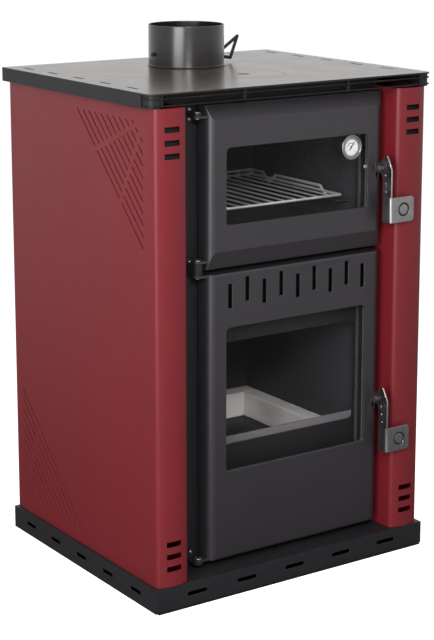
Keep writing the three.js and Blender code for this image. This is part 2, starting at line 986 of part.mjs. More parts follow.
addPart("side_panel_left", sidePanel(-1), red);
addPart("side_panel_right", sidePanel(1), red);

// Rear cover with two rows of slots, and below it the air panel with the slide's rails
const rearInnerY = panelBackY - panelSheet - seatGap - rearSheet;
const rearOuterY = rearInnerY + rearSheet;
const rearHalfWidth = panelHalfWidth - panelSheet - seatGap;
const airSlideHalfHeight = airWindowHeight / 2 + airSlideMargin;
const airSlideFrontY = rearOuterY + seatGap;
const airRailInner = airSlideFrontY + airSlideSheet + seatGap;
function rearCover() {
  const top = skirtBottom - rearSkirtGap;
  const bottom = airPanelTop + seatGap;
  const sheet = box(-rearHalfWidth, rearHalfWidth, rearInnerY, rearOuterY, bottom, top);
  const slotEnd = rearHalfWidth - rearSlotEndInset;
  const slots = [top - rearSlotDrop, plinthHeight + rearSlotRise].flatMap((z) =>
    spread(rearSlotCount, -slotEnd, slotEnd).map((x) =>
      box(
        x - rearSlotWidth / 2,
        x + rearSlotWidth / 2,
        rearInnerY - cutOverrun,
        rearOuterY + cutOverrun,
        z - rearSlotHeight / 2,
        z + rearSlotHeight / 2,
      ),
    ),
  );
  return cut(sheet, ...slots);
}
addPart("rear_cover", rearCover(), black);

function airPanel() {
  const sheet = box(
    -rearHalfWidth,
    rearHalfWidth,
    rearInnerY,
    rearOuterY,
    structureBottom,
    airPanelTop,
  );
  const window = box(
    -airWindowWidth / 2,
    airWindowWidth / 2,
    rearInnerY - cutOverrun,
    rearOuterY + cutOverrun,
    airWindowLevel - airWindowHeight / 2,
    airWindowLevel + airWindowHeight / 2,
  );
  const railFrom = -airWindowWidth / 2 - airSlideMargin;
  const railTo = airWindowWidth / 2 + airSlideMargin + airSlideTravel;
  const rails = [-1, 1].map((side) => {
    const web = airSlideHalfHeight + seatGap;
    const lip = web - airRailLip;
    return prism(
      "x",
      outlineOf(
        [
          [rearInnerY, web],
          [airRailInner, web],
          [airRailInner, lip],
          [airRailInner + airRailSheet, lip],
          [airRailInner + airRailSheet, web + airRailSheet],
          [rearInnerY, web + airRailSheet],
        ].map(([y, z]) => [y, airWindowLevel + side * z]),
      ),
      railFrom,
      railTo,
    );
  });
  return join(cut(sheet, window), ...rails);
}
addPart("air_panel", airPanel(), black);

// Air duct from the air panel's window to the inlet in the back wall
function airDuct() {
  const w = airWindowWidth / 2;
  const h = airWindowHeight / 2;
  const from = bodyBackY + seatGap;
  const to = rearInnerY - seatGap;
  return cut(
    box(
      -w - airDuctSheet,
      w + airDuctSheet,
      from,
      to,
      airWindowLevel - h - airDuctSheet,
      airWindowLevel + h + airDuctSheet,
    ),
    box(-w, w, from - cutOverrun, to + cutOverrun, airWindowLevel - h, airWindowLevel + h),
  );
}
addPart("air_duct", airDuct(), black);

// Air slide: a plate in the rails with a folded finger tab
function airSlide() {
  const w = airWindowWidth / 2 + airSlideMargin;
  const plate = box(
    -w,
    w,
    airSlideFrontY,
    airSlideFrontY + airSlideSheet,
    airWindowLevel - airSlideHalfHeight,
    airWindowLevel + airSlideHalfHeight,
  );
  const tabHalf = airSlideHalfHeight - airRailLip - seatGap;
  const tab = box(
    -w,
    airTabWidth - w,
    airSlideFrontY,
    airSlideFrontY + airSlideSheet + airTabReach,
    airWindowLevel - tabHalf,
    airWindowLevel + tabHalf,
  );
  return join(plate, tab);
}
addPart("air_slide", airSlide(), zinc);

// Top plate: rounded front corners, a skirt on three sides, a lid seat and slots by the edges
function topOutline(inset) {
  const w = topHalfWidth - inset;
  const front = topFrontY + inset;
  const back = topBackY - inset;
  const r = topCornerRadius - inset;
  const shape = new THREE.Shape();
  shape.moveTo(-w, back);
  shape.lineTo(-w, front + r);
  shape.absarc(r - w, front + r, r, Math.PI, 1.5 * Math.PI);
  shape.lineTo(w - r, front);
  shape.absarc(w - r, front + r, r, -Math.PI / 2, 0);
  shape.lineTo(w, back);
  return shape;
}

function topPlate() {
  const skirtFrontY = topFrontY + grilleReturn + seatGap;
  const skirt = cut(
    prism("z", topOutline(0), skirtBottom, topHeight - topThickness / 2),
    prism("z", topOutline(skirtSheet), skirtBottom - cutOverrun, topHeight),
    box(
      -topHalfWidth - cutOverrun,
      topHalfWidth + cutOverrun,
      topFrontY - cutOverrun,
      skirtFrontY,
      skirtBottom - cutOverrun,
      topHeight,
    ),
  );
  const ledge = rod(
    "z",
    lidRadius + lidLedgeWidth,
    topUnder - lidLedgeThickness,
    topUnder + topThickness / 2,
    0,
    lidY,
    roundSides,
  );
  const slots = [-1, 1].flatMap((side) =>
    spread(topSlotCount, frontY + topSlotFrontSetback, backY - topSlotBackInset).map((y) => {
      const x = side * (topHalfWidth - topSlotInset);
      return prism(
        "z",
        slotOutline(x, y, topSlotWidth, topSlotLength),
        topUnder - cutOverrun,
        topHeight + cutOverrun,
        slotSteps,
      );
    }),
  );
  const above = topHeight + cutOverrun;
  const below = topUnder - lidLedgeThickness - cutOverrun;
  return cut(
    join(prism("z", topOutline(0), topUnder, topHeight), skirt, ledge),
    rod("z", lidRadius + seatGap, topUnder, above, 0, lidY, roundSides),
    rod("z", lidRadius - lidRim, below, above, 0, lidY, roundSides),
    rod("z", collarRadius - collarSheet, below, above, 0, collarY, roundSides),
    ...slots,
  );
}
addPart("top_plate", topPlate(), satinBlack);

// Cooking lid: a disc with a plug below and a blind slot for the lifting hook
function cookingLid() {
  const seat = topUnder + seatGap;
  const disc = rod("z", lidRadius, seat, topHeight, 0, lidY, roundSides);
  const plug = rod(
    "z",
    lidRadius - lidRim - seatGap,
    seat - lidPlugDepth,
    topHeight,
    0,
    lidY,
    roundSides,
  );
  const half = lidSlotLength / 2;
  const slot = new THREE.ExtrudeGeometry(slotOutline(0, 0, 2 * half, lidSlotWidth), {
    depth: topThickness + lidPlugDepth,
    bevelEnabled: false,
    curveSegments: cornerSteps,
  });
  slot.rotateZ(lidSlotTurn);
  slot.translate(0, lidY, seat - lidPlugDepth + lidSlotFloor);
  return cut(join(disc, plug), solidOf(slot));
}
addPart("cooking_lid", cookingLid(), satinBlack);

// Front grille: two thin bars that wrap the corners below the plate's edge, on short posts
function grilleBarAt(z) {
  const w = topHalfWidth;
  const outer = prism("z", topOutline(0), z, z + grilleBar);
  const inner = prism("z", topOutline(grilleDepth), z - cutOverrun, z + grilleBar + cutOverrun);
  const behind = box(
    -w - cutOverrun,
    w + cutOverrun,
    topFrontY + grilleReturn,
    topBackY + cutOverrun,
    z - cutOverrun,
    z + grilleBar + cutOverrun,
  );
  return cut(outer, inner, behind);
}

function frontGrille() {
  const upper = structureTop - grilleGapUpper - grilleBar;
  const lower = upper - grilleGapLower - grilleBar;
  const postEnd = topHalfWidth - grillePostInset;
  const posts = [-1, -grillePostShare, grillePostShare, 1].map((share) => {
    const x = share * postEnd;
    return box(
      x - grillePostWidth / 2,
      x + grillePostWidth / 2,
      topFrontY,
      topFrontY + grilleDepth,
      lower,
      structureTop,
    );
  });
  return join(grilleBarAt(upper), grilleBarAt(lower), ...posts);
}
addPart("front_grille", frontGrille(), satinBlack);

// Flue collar, with the bores of the damper spindle
function flueCollar() {
  const bottom = topHeight + seatGap;
  const tube = join(
    rod("z", collarRadius, bottom, bottom + collarHeight, 0, collarY, roundSides),
    rod(
      "z",
      collarRadius + collarFlangeWidth,
      bottom,
      bottom + collarFlangeThickness,
      0,
      collarY,
      roundSides,
    ),
  );
  return cut(
    tube,
    rod(
      "z",
      collarRadius - collarSheet,
      bottom - cutOverrun,
      bottom + collarHeight + cutOverrun,
      0,
      collarY,
      roundSides,
    ),
    rod(
      "x",
      spindleRadius + spindleClearance,
      -collarRadius - cutOverrun,
      collarRadius + cutOverrun,
      collarY,
      damperZ,
    ),
  );
}
addPart("flue_collar", flueCollar(), satinBlack);

// Butterfly damper: the disc carries two clips that the spindle passes through
function damperDisc() {
  const low = damperZ - spindleRadius - seatGap - damperThickness;
  const disc = rod("z", damperRadius, low, low + damperThickness, 0, collarY, roundSides);
  const outer = spindleRadius + seatGap + damperClipThickness;
  const clips = [-1, 1].map((side) => {
    const x = (side * damperRadius) / 2;
    return join(
      rod("x", outer, x - damperClipWidth / 2, x + damperClipWidth / 2, collarY, damperZ),
      box(
        x - damperClipWidth / 2,
        x + damperClipWidth / 2,
        collarY - outer,
        collarY + outer,
        low + damperThickness / 2,
        damperZ,
      ),
    );
  });
  return cut(
    join(disc, ...clips),
    rod("x", spindleRadius + seatGap, -damperRadius, damperRadius, collarY, damperZ),
  );
}
addPart("damper_disc", damperDisc(), castIron);

// Spindle and its wire loop are one bent piece
function damperSpindle() {
  const start = [-collarRadius - spindleTail, collarY, damperZ];
  const knee = [damperWireEnd, collarY, damperZ];
  const reach = damperWireEnd + damperLoopReach;
  return wire(
    [
      start,
      knee,
      [reach, collarY, damperZ + damperLoopRise],
      [reach - damperLoopShares[0] * damperLoopReach, collarY, damperZ],
      [reach - damperLoopShares[1] * damperLoopReach, collarY, damperZ - (2 * damperLoopDrop) / 3],
      [reach - damperLoopShares[2] * damperLoopReach, collarY, damperZ - damperLoopDrop],
    ],
    spindleRadius,
  );
}
addPart("damper_spindle", damperSpindle(), zinc);

// Door shells: a folded pan with rounded upright edges and the hinge lugs welded on
function doorProfile(bottom, top, lean, inset) {
  const front = doorFaceY + inset;
  const back = doorBackY + (inset ? cutOverrun : 0);
  return outlineOf([
    [back, bottom + inset],
    [front + lean.bottomLean, bottom + inset],
    [front, bottom + lean.bottomBand],
    [front, top - lean.topBand],
    [front + lean.topLean, top - inset],
    [back, top - inset],
  ]);
}

function doorPlan(inset) {
  const left = doorLeftX + inset;
  const right = doorRightX - inset;
  const front = doorFaceY + inset;
  const back = doorBackY + (inset ? cutOverrun : 0);
  const r = doorEdgeRadius - inset;
  const shape = new THREE.Shape();
  shape.moveTo(right, back);
  shape.lineTo(left, back);
  shape.lineTo(left, front + r);
  shape.absarc(left + r, front + r, r, Math.PI, 1.5 * Math.PI);
  shape.lineTo(right - r, front);
  shape.absarc(right - r, front + r, r, -Math.PI / 2, 0);
  return shape;
}

function doorBlock(bottom, top, lean, inset) {
  const along = prism("x", doorProfile(bottom, top, lean, inset), doorLeftX, doorRightX);
  const up = prism("z", doorPlan(inset), bottom - cutOverrun, top + cutOverrun, crownSteps);
  return along.intersect(up);
}

function hingeLug(bottom, thickness, endX, endY) {
  const eye = rod("z", hingeLugRadius, bottom, bottom + thickness, hingeX, hingeY, pinSides);
  const arm = box(
    endX > hingeX ? hingeX : hingeX - hingeLugRadius,
    endX > hingeX ? endX : hingeX + hingeLugRadius,
    endX > hingeX ? hingeY - hingeLugRadius : hingeY,
    endX > hingeX ? hingeY + hingeLugRadius : endY,
    bottom,
    bottom + thickness,
  );
  const bore = rod(
    "z",
    hingePinRadius + hingePinClearance,
    bottom - cutOverrun,
    bottom + thickness + cutOverrun,
    hingeX,
    hingeY,
  );
  return cut(join(eye, arm), bore);
}

function latchEars(pivotZ) {
  const gap = leverSheet + 2 * earGap;
  const inside = doorFaceY + doorSheet;
  return [leverX - earGap - earSheet, leverX - earGap + gap].map((x) =>
    join(
      rod("x", earRadius, x, x + earSheet, pivotY, pivotZ),
      box(x, x + earSheet, pivotY, inside, pivotZ - earRadius, pivotZ + earRadius),
    ),
  );
}

function doorShell(bottom, top, lean, window, pivotZ, lugs) {
  const pan = cut(
    doorBlock(bottom, top, lean, 0),
    doorBlock(bottom, top, lean, doorSheet),
    prism(
      "y",
      roundedRectangle(
        doorOffset - windowHalfWidth,
        doorOffset + windowHalfWidth,
        window[0],
        window[1],
        windowCornerRadius,
      ),
      doorFaceY - cutOverrun,
      doorFaceY + doorSheet + cutOverrun,
    ),
    box(
      leverX - leverSlotClearance,
      leverX + leverSheet + leverSlotClearance,
      doorFaceY - cutOverrun,
      doorFaceY + doorSheet + 2 * cutOverrun,
      pivotZ - leverSlotDrop,
      pivotZ + leverSlotRise,
    ),
  );
  const wall = doorLeftX + doorSheet / 2;
  const lugPieces = lugs.map((z) => hingeLug(z, hingeLugThickness, wall, hingeY));
  const pinHole = rod(
    "x",
    pivotPinRadius + pivotPinClearance,
    leverX - 2 * earSheet,
    leverX + 4 * earSheet,
    pivotY,
    pivotZ,
  );
  return cut(join(pan, ...lugPieces, ...latchEars(pivotZ)), pinHole);
}

const ovenLean = {
  topBand: ovenBandTop,
  topLean: ovenBandTopLean,
  bottomBand: ovenBandBottom,
  bottomLean: ovenBandBottomLean,
};
const fireLean = {
  topBand: doorEdgeChamfer,
  topLean: doorEdgeChamfer / 2,
  bottomBand: doorEdgeChamfer,
  bottomLean: doorEdgeChamfer / 2,
};

function fireDoorSlots() {
  const end = windowHalfWidth - airSlotEndInset;
  return spread(airSlotCount, doorOffset - end, doorOffset + end).map((x, i) =>
    prism(
      "y",
      slotOutline(
        x,
        airSlotLevel + (i % 2) * airSlotStagger,
        airSlotWidth,
        airSlotHeight,
      ),
      doorFaceY - cutOverrun,
      doorFaceY + doorSheet + cutOverrun,
      slotSteps,
    ),
  );
}

addPart(
  "oven_door_shell",
  doorShell(
    ovenDoorBottom,
    ovenDoorTop,
    ovenLean,
    [ovenWindowBottom, ovenWindowTop],
    ovenPivotZ,
    [ovenLugBottomZ, ovenLugTopZ - hingeLugThickness],
  ),
  charcoal,
);
addPart(
  "fire_door_shell",
  cut(
    doorShell(
      fireDoorBottom,
      fireDoorTop,
      fireLean,
      [fireWindowBottom, fireWindowTop],
      firePivotZ,
      [fireDoorBottom, fireDoorTop - hingeLugThickness],
    ),
    ...fireDoorSlots(),
  ),
  charcoal,
);

// A flat ring between two rectangles round the door's middle line
function ring(from, to, outer, inner, radius) {
  const outline = (grow) =>
    roundedRectangle(
      doorOffset - grow.half,
      doorOffset + grow.half,
      grow.bottom,
      grow.top,
      radius,
    );
  return cut(
    prism("y", outline(outer), from, to, ringSteps),
    prism("y", outline(inner), from - cutOverrun, to + cutOverrun, ringSteps),
  );
}

function grown(half, bottom, top, by) {
  return { half: half + by, bottom: bottom - by, top: top + by };
}

function stemHole(from, to) {
  const radius = dialStemRadius + dialStemClearance;
  return rod("y", radius, from, to, dialX, dialLevel);
}

// Glass seal, glass, inner frame with its rope groove, and the rope, for one door
function addGlazing(prefix, window, sealSpan, hasDial) {
  const [bottom, top] = window;
  addPart(
    prefix + "_glass_seal",
    ring(
      sealFrontY,
      sealFrontY + sealThickness,
      grown(windowHalfWidth, bottom, top, glassOverlap),
      grown(windowHalfWidth, bottom, top, -sealShow),
      glassCornerRadius,
    ),
    ceramicRope,
  );
  const pane = grown(windowHalfWidth, bottom, top, glassOverlap);
  const glass = prism(
    "y",
    roundedRectangle(
      doorOffset - pane.half,
      doorOffset + pane.half,
      pane.bottom,
      pane.top,
      glassCornerRadius,
    ),
    glassFrontY,
    glassBackY,
  );
  const hole = stemHole(glassFrontY - cutOverrun, glassBackY + cutOverrun);
  addPart(prefix + "_glass", hasDial ? cut(glass, hole) : glass, clearGlass);

  const [sealBottom, sealTop] = sealSpan;
  const span = (by) => ({
    half: openingHalfWidth + by,
    bottom: sealBottom - by,
    top: sealTop + by,
  });
  const plate = ring(
    innerFrameY,
    innerFrameY + innerFrameSheet,
    span(rimOuter - openingHalfWidth),
    grown(windowHalfWidth, bottom, top, innerFrameWindowGap),
    glassCornerRadius,
  );
  const rim = ring(
    innerFrameY + innerFrameSheet / 2,
    innerFrameBackY,
    span(rimOuter - openingHalfWidth),
    span(rimGap),
    glassCornerRadius,
  );
  const groove = ring(
    innerFrameBackY - ropeGroove,
    innerFrameBackY + cutOverrun,
    span(ropeOuter - openingHalfWidth),
    span(ropeInner - openingHalfWidth),
    glassCornerRadius,
  );
  addPart(prefix + "_inner_frame", cut(join(plate, rim), groove), black);
  addPart(
    prefix + "_rope",
    ring(
      innerFrameBackY - ropeGroove + seatGap,
      frameY - seatGap,
      span(ropeOuter - openingHalfWidth - seatGap),
      span(ropeInner - openingHalfWidth + seatGap),
      glassCornerRadius,
    ),
    ceramicRope,
  );
}
addGlazing(
  "oven_door",
  [ovenWindowBottom, ovenWindowTop],
  [ovenOpeningBottom, ovenOpeningTop],
  true,
);
addGlazing(
  "fire_door",
  [fireWindowBottom, fireWindowTop],
  [ashOpeningBottom, fireWindowTop + glassOverlap / 2],
  false,
);

// Hinge brackets on the frame, and the pins
function hingeBracket(bottom, thickness, baseMiddle) {
  const baseY = frameY - seatGap;
  const base = box(
    hingeX - hingeBaseWidth / 2,
    hingeX + hingeBaseWidth / 2,
    baseY - hingeBaseThickness,
    baseY,
    baseMiddle - hingeBaseHeight / 2,
    baseMiddle + hingeBaseHeight / 2,
  );
  return join(hingeLug(bottom, thickness, hingeX, baseY), base);
}

function hingePin(from, headBottom) {
  const shank = rod("z", hingePinRadius, from, headBottom + hingePinHeadHeight / 2, hingeX, hingeY);
  const radius = hingePinHeadRadius;
  const dome = turned([
    [0, 0],
    [radius, 0],
    [radius, hingePinHeadHeight / 2],
    [(2 * radius) / 3, (5 * hingePinHeadHeight) / 6],
    [0, hingePinHeadHeight],
  ], pinSides);
  const placed = geometryOf(dome);
  placed.rotateX(Math.PI / 2);
  placed.translate(hingeX, hingeY, headBottom);
  return join(shank, solidOf(placed));
}

const topBracketZ = ovenLugTopZ + seatGap;
const middleBracketZ = fireDoorTop + seatGap;
const middleBracketTop = ovenLugBottomZ - seatGap;
const bottomBracketZ = fireDoorBottom - seatGap - hingeLugThickness;
addPart(
  "hinge_bracket_top",
  hingeBracket(topBracketZ, hingeLugThickness, topBracketZ),
  black,
);
addPart(
  "hinge_bracket_middle",
  hingeBracket(
    middleBracketZ,
    middleBracketTop - middleBracketZ,
    (middleBracketZ + middleBracketTop) / 2,
  ),
  black,
);
addPart(
  "hinge_bracket_bottom",
  hingeBracket(
    bottomBracketZ,
    hingeLugThickness,
    structureBottom + hingeBaseHeight / 2,
  ),
  black,
);
addPart(
  "hinge_pin_top",
  hingePin(
    ovenLugTopZ - hingeLugThickness - hingePinTail,
    topBracketZ + hingeLugThickness + seatGap,
  ),
  zinc,
);
addPart(
  "hinge_pin_middle",
  hingePin(
    fireDoorTop - hingeLugThickness - hingePinTail,
    ovenLugBottomZ + hingeLugThickness + seatGap,
  ),
  zinc,
);
addPart(
  "hinge_pin_bottom",
  hingePin(bottomBracketZ - hingePinTail, fireDoorBottom + hingeLugThickness + seatGap),
  zinc,
);

// Latch lever: plate, bent tab and the arm whose nose lies under the keeper's pin
function leverPlateOutline(pivotZ) {
  const front = pivotY - leverFrontReach;
  const back = pivotY - leverBackReach;
  const foot = pivotZ - leverTabDrop - leverTabHeight;
  const hub = leverHubRadius;
  const nose = pivotY + leverArmReach;
  const noseBack = nose - leverNoseLength;
  const arm = leverArmHeight / 2;
  const crest = pivotY - leverFrontReach * leverTopShare;
  return outlineOf([
    [front + leverBendRadius, foot],
    [back, foot],
    [back, pivotZ - 2 * hub],
    [pivotY, pivotZ - hub],
    [pivotY + hub, pivotZ - arm],
    [nose, pivotZ - arm],
    [nose, pivotZ + arm],
    [nose - leverNoseRise, pivotZ + arm + leverNoseRise],
    [noseBack, pivotZ + arm + leverNoseRise],
    [noseBack - leverNoseRise, pivotZ + arm],
    [pivotY + hub, pivotZ + arm],
    [pivotY, pivotZ + hub],
    [pivotY - hub / 2, pivotZ + leverTopRise - hub / 2],
    [crest, pivotZ + leverTopRise],
    [front + leverBendRadius, pivotZ + leverTopRise / 2],
    [front, pivotZ],
    [front, foot + leverTabHeight],
    [front + leverBendRadius, foot + leverTabHeight],
  ]);
}

function leverTab(pivotZ) {
  const front = pivotY - leverFrontReach;
  const foot = pivotZ - leverTabDrop - leverTabHeight;
  const back = pivotY - leverBackReach;
  const r = leverBendRadius;
  const path = [
    [leverX + leverTabWidth, front],
    ...arcPoints([leverX + r, front + r], r, 1.5 * Math.PI, Math.PI, cornerSteps),
    [leverX, back],
  ];
  const bent = prism("z", sheetOutline(path, leverSheet), foot, foot + leverTabHeight);
  const face = prism(
    "y",
    roundedRectangle(
      leverX - leverTabWidth,
      leverX + leverTabWidth,
      foot,
      foot + leverTabHeight,
      leverTabCorner,
    ),
    front - cutOverrun,
    back + cutOverrun,
  );
  const ringX = leverX + (leverTabWidth + r) / 2;
  const ringZ = foot + leverTabHeight / 2;
  const groove = cut(
    rod("y", leverRingRadius, front - cutOverrun, front + leverRingDepth, ringX, ringZ, roundSides),
    rod(
      "y",
      leverRingRadius - leverRingWidth,
      front - 2 * cutOverrun,
      front + 2 * leverRingDepth,
      ringX,
      ringZ,
      roundSides,
    ),
  );
  return cut(bent.intersect(face), groove);
}

function lever(pivotZ) {
  const plate = prism("x", leverPlateOutline(pivotZ), leverX, leverX + leverSheet);
  const holes = row(leverHoleCount, leverHolePitch).map((offset, i) =>
    rod(
      "x",
      leverHoleRadius,
      leverX - cutOverrun,
      leverX + leverSheet + cutOverrun,
      pivotY - leverHoleReach - i * leverHoleStep,
      pivotZ - leverHoleFirstDrop - i * leverHolePitch,
      wireSides,
    ),
  );
  const bore = rod(
    "x",
    pivotPinRadius + pivotPinClearance,
    leverX - cutOverrun,
    leverX + leverSheet + cutOverrun,
    pivotY,
    pivotZ,
  );
  return cut(join(plate, leverTab(pivotZ)), ...holes, bore);
}

function leverPin(pivotZ) {
  const left = leverX - earGap - earSheet;
  const right = leverX + leverSheet + earGap + earSheet;
  return join(
    rod("x", pivotPinRadius, left - pivotHeadHeight, right + pivotHeadHeight, pivotY, pivotZ),
    rod("x", pivotHeadRadius, left - seatGap - pivotHeadHeight, left - seatGap, pivotY, pivotZ),
  );
}

// Keeper: an ear on the frame with the pin that the nose presses against
function keeper(pivotZ) {
  const earX = leverX + leverSheet + keeperEarGap;
  const base = frameY - seatGap;
  const pinY = pivotY + leverArmReach - leverNoseLength / 2 - leverNoseRise / 2;
  const pinZ = pivotZ + leverArmHeight / 2 + leverNoseRise + seatGap + keeperPinRadius;
  const foot = box(
    earX + keeperSheet - keeperBaseWidth,
    earX + keeperSheet,
    base - keeperSheet,
    base,
    pinZ - keeperHeight / 2,
    pinZ + keeperHeight / 2,
  );
  const ear = box(
    earX,
    earX + keeperSheet,
    base - keeperReach,
    base,
    pinZ - keeperHeight / 3,
    pinZ + keeperHeight / 3,
  );
  const pin = rod(
    "x",
    keeperPinRadius,
    leverX - keeperPinOverlap,
    earX + keeperSheet / 2,
    pinY,
    pinZ,
  );
  return join(foot, ear, pin);
}

for (const [prefix, pivotZ] of [
  ["oven", ovenPivotZ],
  ["fire", firePivotZ],
]) {
  addPart(prefix + "_latch_lever", lever(pivotZ), chrome);
  addPart(prefix + "_latch_pin", leverPin(pivotZ), zinc);
  addPart(prefix + "_latch_keeper", keeper(pivotZ), zinc);
}

// Thermometer: cup with neck, stem and nut, then the dial, needle and lens
const bezelBackY = doorFaceY - dialBezelStand;
const bezelFrontY = bezelBackY - dialBezelDepth;
const dialFloorY = bezelFrontY + dialRecess;
const glassSeatY = glassFrontY - seatGap;
function lookingForward(profile, sides = roundSides) {
  const geometry = geometryOf(turned(profile, sides));
  geometry.translate(dialX, 0, dialLevel);
  return solidOf(geometry);
}

function thermometerCup() {
  const recess = dialBezelRadius - dialRim;
  const cup = lookingForward([
    [0, dialFloorY],
    [recess, dialFloorY],
    [recess, bezelFrontY],
    [dialBezelRadius - dialRim / 3, bezelFrontY],
    [dialBezelRadius, bezelFrontY + dialRim / 2],
    [dialBezelRadius, bezelBackY],
    [dialNeckRadius, bezelBackY],
    [dialNeckRadius, glassSeatY],
    [dialStemRadius, glassSeatY],
    [dialStemRadius, glassBackY + seatGap + dialNutHeight + dialStemTail],
    [0, glassBackY + seatGap + dialNutHeight + dialStemTail],
  ]);
  const post = rod(
    "y",
    needlePostRadius,
    dialFloorY - dialFaceThickness - needleThickness - 2 * needleFloat - seatGap,
    dialFloorY + cutOverrun,
    dialX,
    dialLevel,
    wireSides,
  );
  return join(cup, post);
}
addPart("thermometer_cup", thermometerCup(), chrome);

function thermometerNut() {
  const from = glassBackY + seatGap;
  return cut(
    rod("y", dialNutRadius, from, from + dialNutHeight, dialX, dialLevel, hexSides),
    stemHole(from - cutOverrun, from + dialNutHeight + cutOverrun),
  );
}
addPart("thermometer_nut", thermometerNut(), zinc);

const faceFrontY = dialFloorY - seatGap - dialFaceThickness;
addPart(
  "thermometer_dial",
  cut(
    rod(
      "y",
      dialBezelRadius - dialRim - seatGap,
      faceFrontY,
      dialFloorY - seatGap,
      dialX,
      dialLevel,
      roundSides,
    ),
    rod(
      "y",
      needleHoleRadius,
      faceFrontY - cutOverrun,
      dialFloorY + cutOverrun,
      dialX,
      dialLevel,
      wireSides,
    ),
  ),
  dialWhite,
);

function thermometerNeedle() {
  const back = faceFrontY - needleFloat;
  const front = back - needleThickness;
  const tip = needleWidth / 4;
  const hand = new THREE.ExtrudeGeometry(
    outlineOf([
      [-needleTail, -needleWidth / 2],
      [0, -needleWidth / 2],
      [needleLength, -tip],
      [needleLength, tip],
      [0, needleWidth / 2],
      [-needleTail, needleWidth / 2],
    ]),
    { depth: needleThickness, bevelEnabled: false },
  );
  hand.rotateZ(needleTurn);
  hand.rotateX(Math.PI / 2);
  hand.translate(dialX, back, dialLevel);
  const hub = rod("y", needleHubRadius, front, back, dialX, dialLevel);
  const hole = rod(
    "y",
    needleHoleRadius,
    front - cutOverrun,
    back + cutOverrun,
    dialX,
    dialLevel,
    wireSides,
  );
  return cut(join(solidOf(hand), hub), hole);
}
addPart("thermometer_needle", thermometerNeedle(), needleBlack);

addPart(
  "thermometer_lens",
  rod(
    "y",
    dialBezelRadius - dialRim - seatGap,
    bezelFrontY + needleFloat,
    bezelFrontY + needleFloat + dialLensThickness,
    dialX,
    dialLevel,
    roundSides,
  ),
  clearGlass,
);

// Oven rack: cross bars and wires between side rails, whose notches stand on the runners
function ovenRack() {
  const foot = rackLevel + seatGap + rackBarRadius;
  const z = foot + rackPlaneRise;
  const railZ = foot + rackRailRise;
  const front = rackFrontY;
  const back = rackBackY;
  const side = rackHalfWidth - rackBarRadius;
  const wireZ = z + rackBarRadius;
  const ends = [
    [front, z],
    [back, z],
    [back, railZ],
  ];
  const crossBars = ends.map(([y, level]) =>
    rod("x", rackBarRadius, doorOffset - side, doorOffset + side, y, level, wireSides),
  );
  const wireEnd = rackHalfWidth - rackWireEndInset;
  const wires = spread(rackWireCount, doorOffset - wireEnd, doorOffset + wireEnd).map((x) =>
    rod("y", rackWireRadius, front - rackWireTip, back + rackWireTip, x, wireZ, wireSides),
  );
  const frontNotch = front + rackFrontNotchSetback;
  const backNotch = back - rackBackNotchSetback;
  const rails = [-1, 1].map((s) => {
    const x = doorOffset + s * side;
    return wire(
      [
        [x, front, z],
        [x, frontNotch, foot],
        [x, frontNotch + rackNotchReach, railZ],
        [x, backNotch - rackNotchReach, railZ],
        [x, backNotch, foot],
        [x, backNotch + rackNotchReach, railZ],
        [x, back, railZ],
        [x, back, z],
        [x, front, z],
      ],
      rackBarRadius,
    );
  });
  const caps = ends.flatMap(([y, level]) =>
    [-1, 1].map((s) => {
      const ball = new THREE.SphereGeometry(rackBarRadius, wireSides, wireSides / 2);
      ball.translate(doorOffset + s * side, y, level);
      return solidOf(ball);
    }),
  );
  return join(...crossBars, ...wires, ...rails, ...caps);
}
addPart("oven_rack", ovenRack(), chrome);

// Runners: folded ledges on the oven's side walls
for (const [name, side] of [
  ["rack_runner_left", -1],
  ["rack_runner_right", 1],
]) {
  const wall = doorOffset + side * (ovenBoxHalfWidth - seatGap);
  const edge = doorOffset + side * (rackHalfWidth - runnerReach);
  const path = [
    [edge, rackLevel],
    [wall, rackLevel],
    [wall, rackLevel - runnerHeight],
  ];
  const outline = sheetOutline(side > 0 ? path : path.reverse(), runnerSheet);
  addPart(name, prism("y", outline, rackFrontY, rackBackY), soot);
}

// The origin stands on the floor under the middle of the whole outline, lever tabs included
stove.position.y = -(pivotY - leverFrontReach + topBackY) / 2;

export default stove;
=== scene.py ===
"""Wood-burning stove with an oven above the firebox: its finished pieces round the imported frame."""

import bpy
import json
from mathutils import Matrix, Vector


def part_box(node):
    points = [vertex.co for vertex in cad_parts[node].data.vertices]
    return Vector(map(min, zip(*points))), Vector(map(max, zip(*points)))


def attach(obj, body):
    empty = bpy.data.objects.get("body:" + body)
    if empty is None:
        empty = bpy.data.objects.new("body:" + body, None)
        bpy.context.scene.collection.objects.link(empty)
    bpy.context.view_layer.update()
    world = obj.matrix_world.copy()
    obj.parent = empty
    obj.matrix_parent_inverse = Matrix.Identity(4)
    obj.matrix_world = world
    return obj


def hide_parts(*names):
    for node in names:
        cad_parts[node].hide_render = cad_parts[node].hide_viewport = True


bl_info = {
    "name": "Oven Stove Pieces",
    "version": (1, 0, 0),
    "blender": (4, 5, 0),
    "location": "3D View > Sidebar > Stove",
    "description": "Builds the enamelled panels, doors, top and fittings of a wood-burning stove",
    "category": "Object",
}

import functools
import json
import math

import bpy
from mathutils import Matrix, Vector

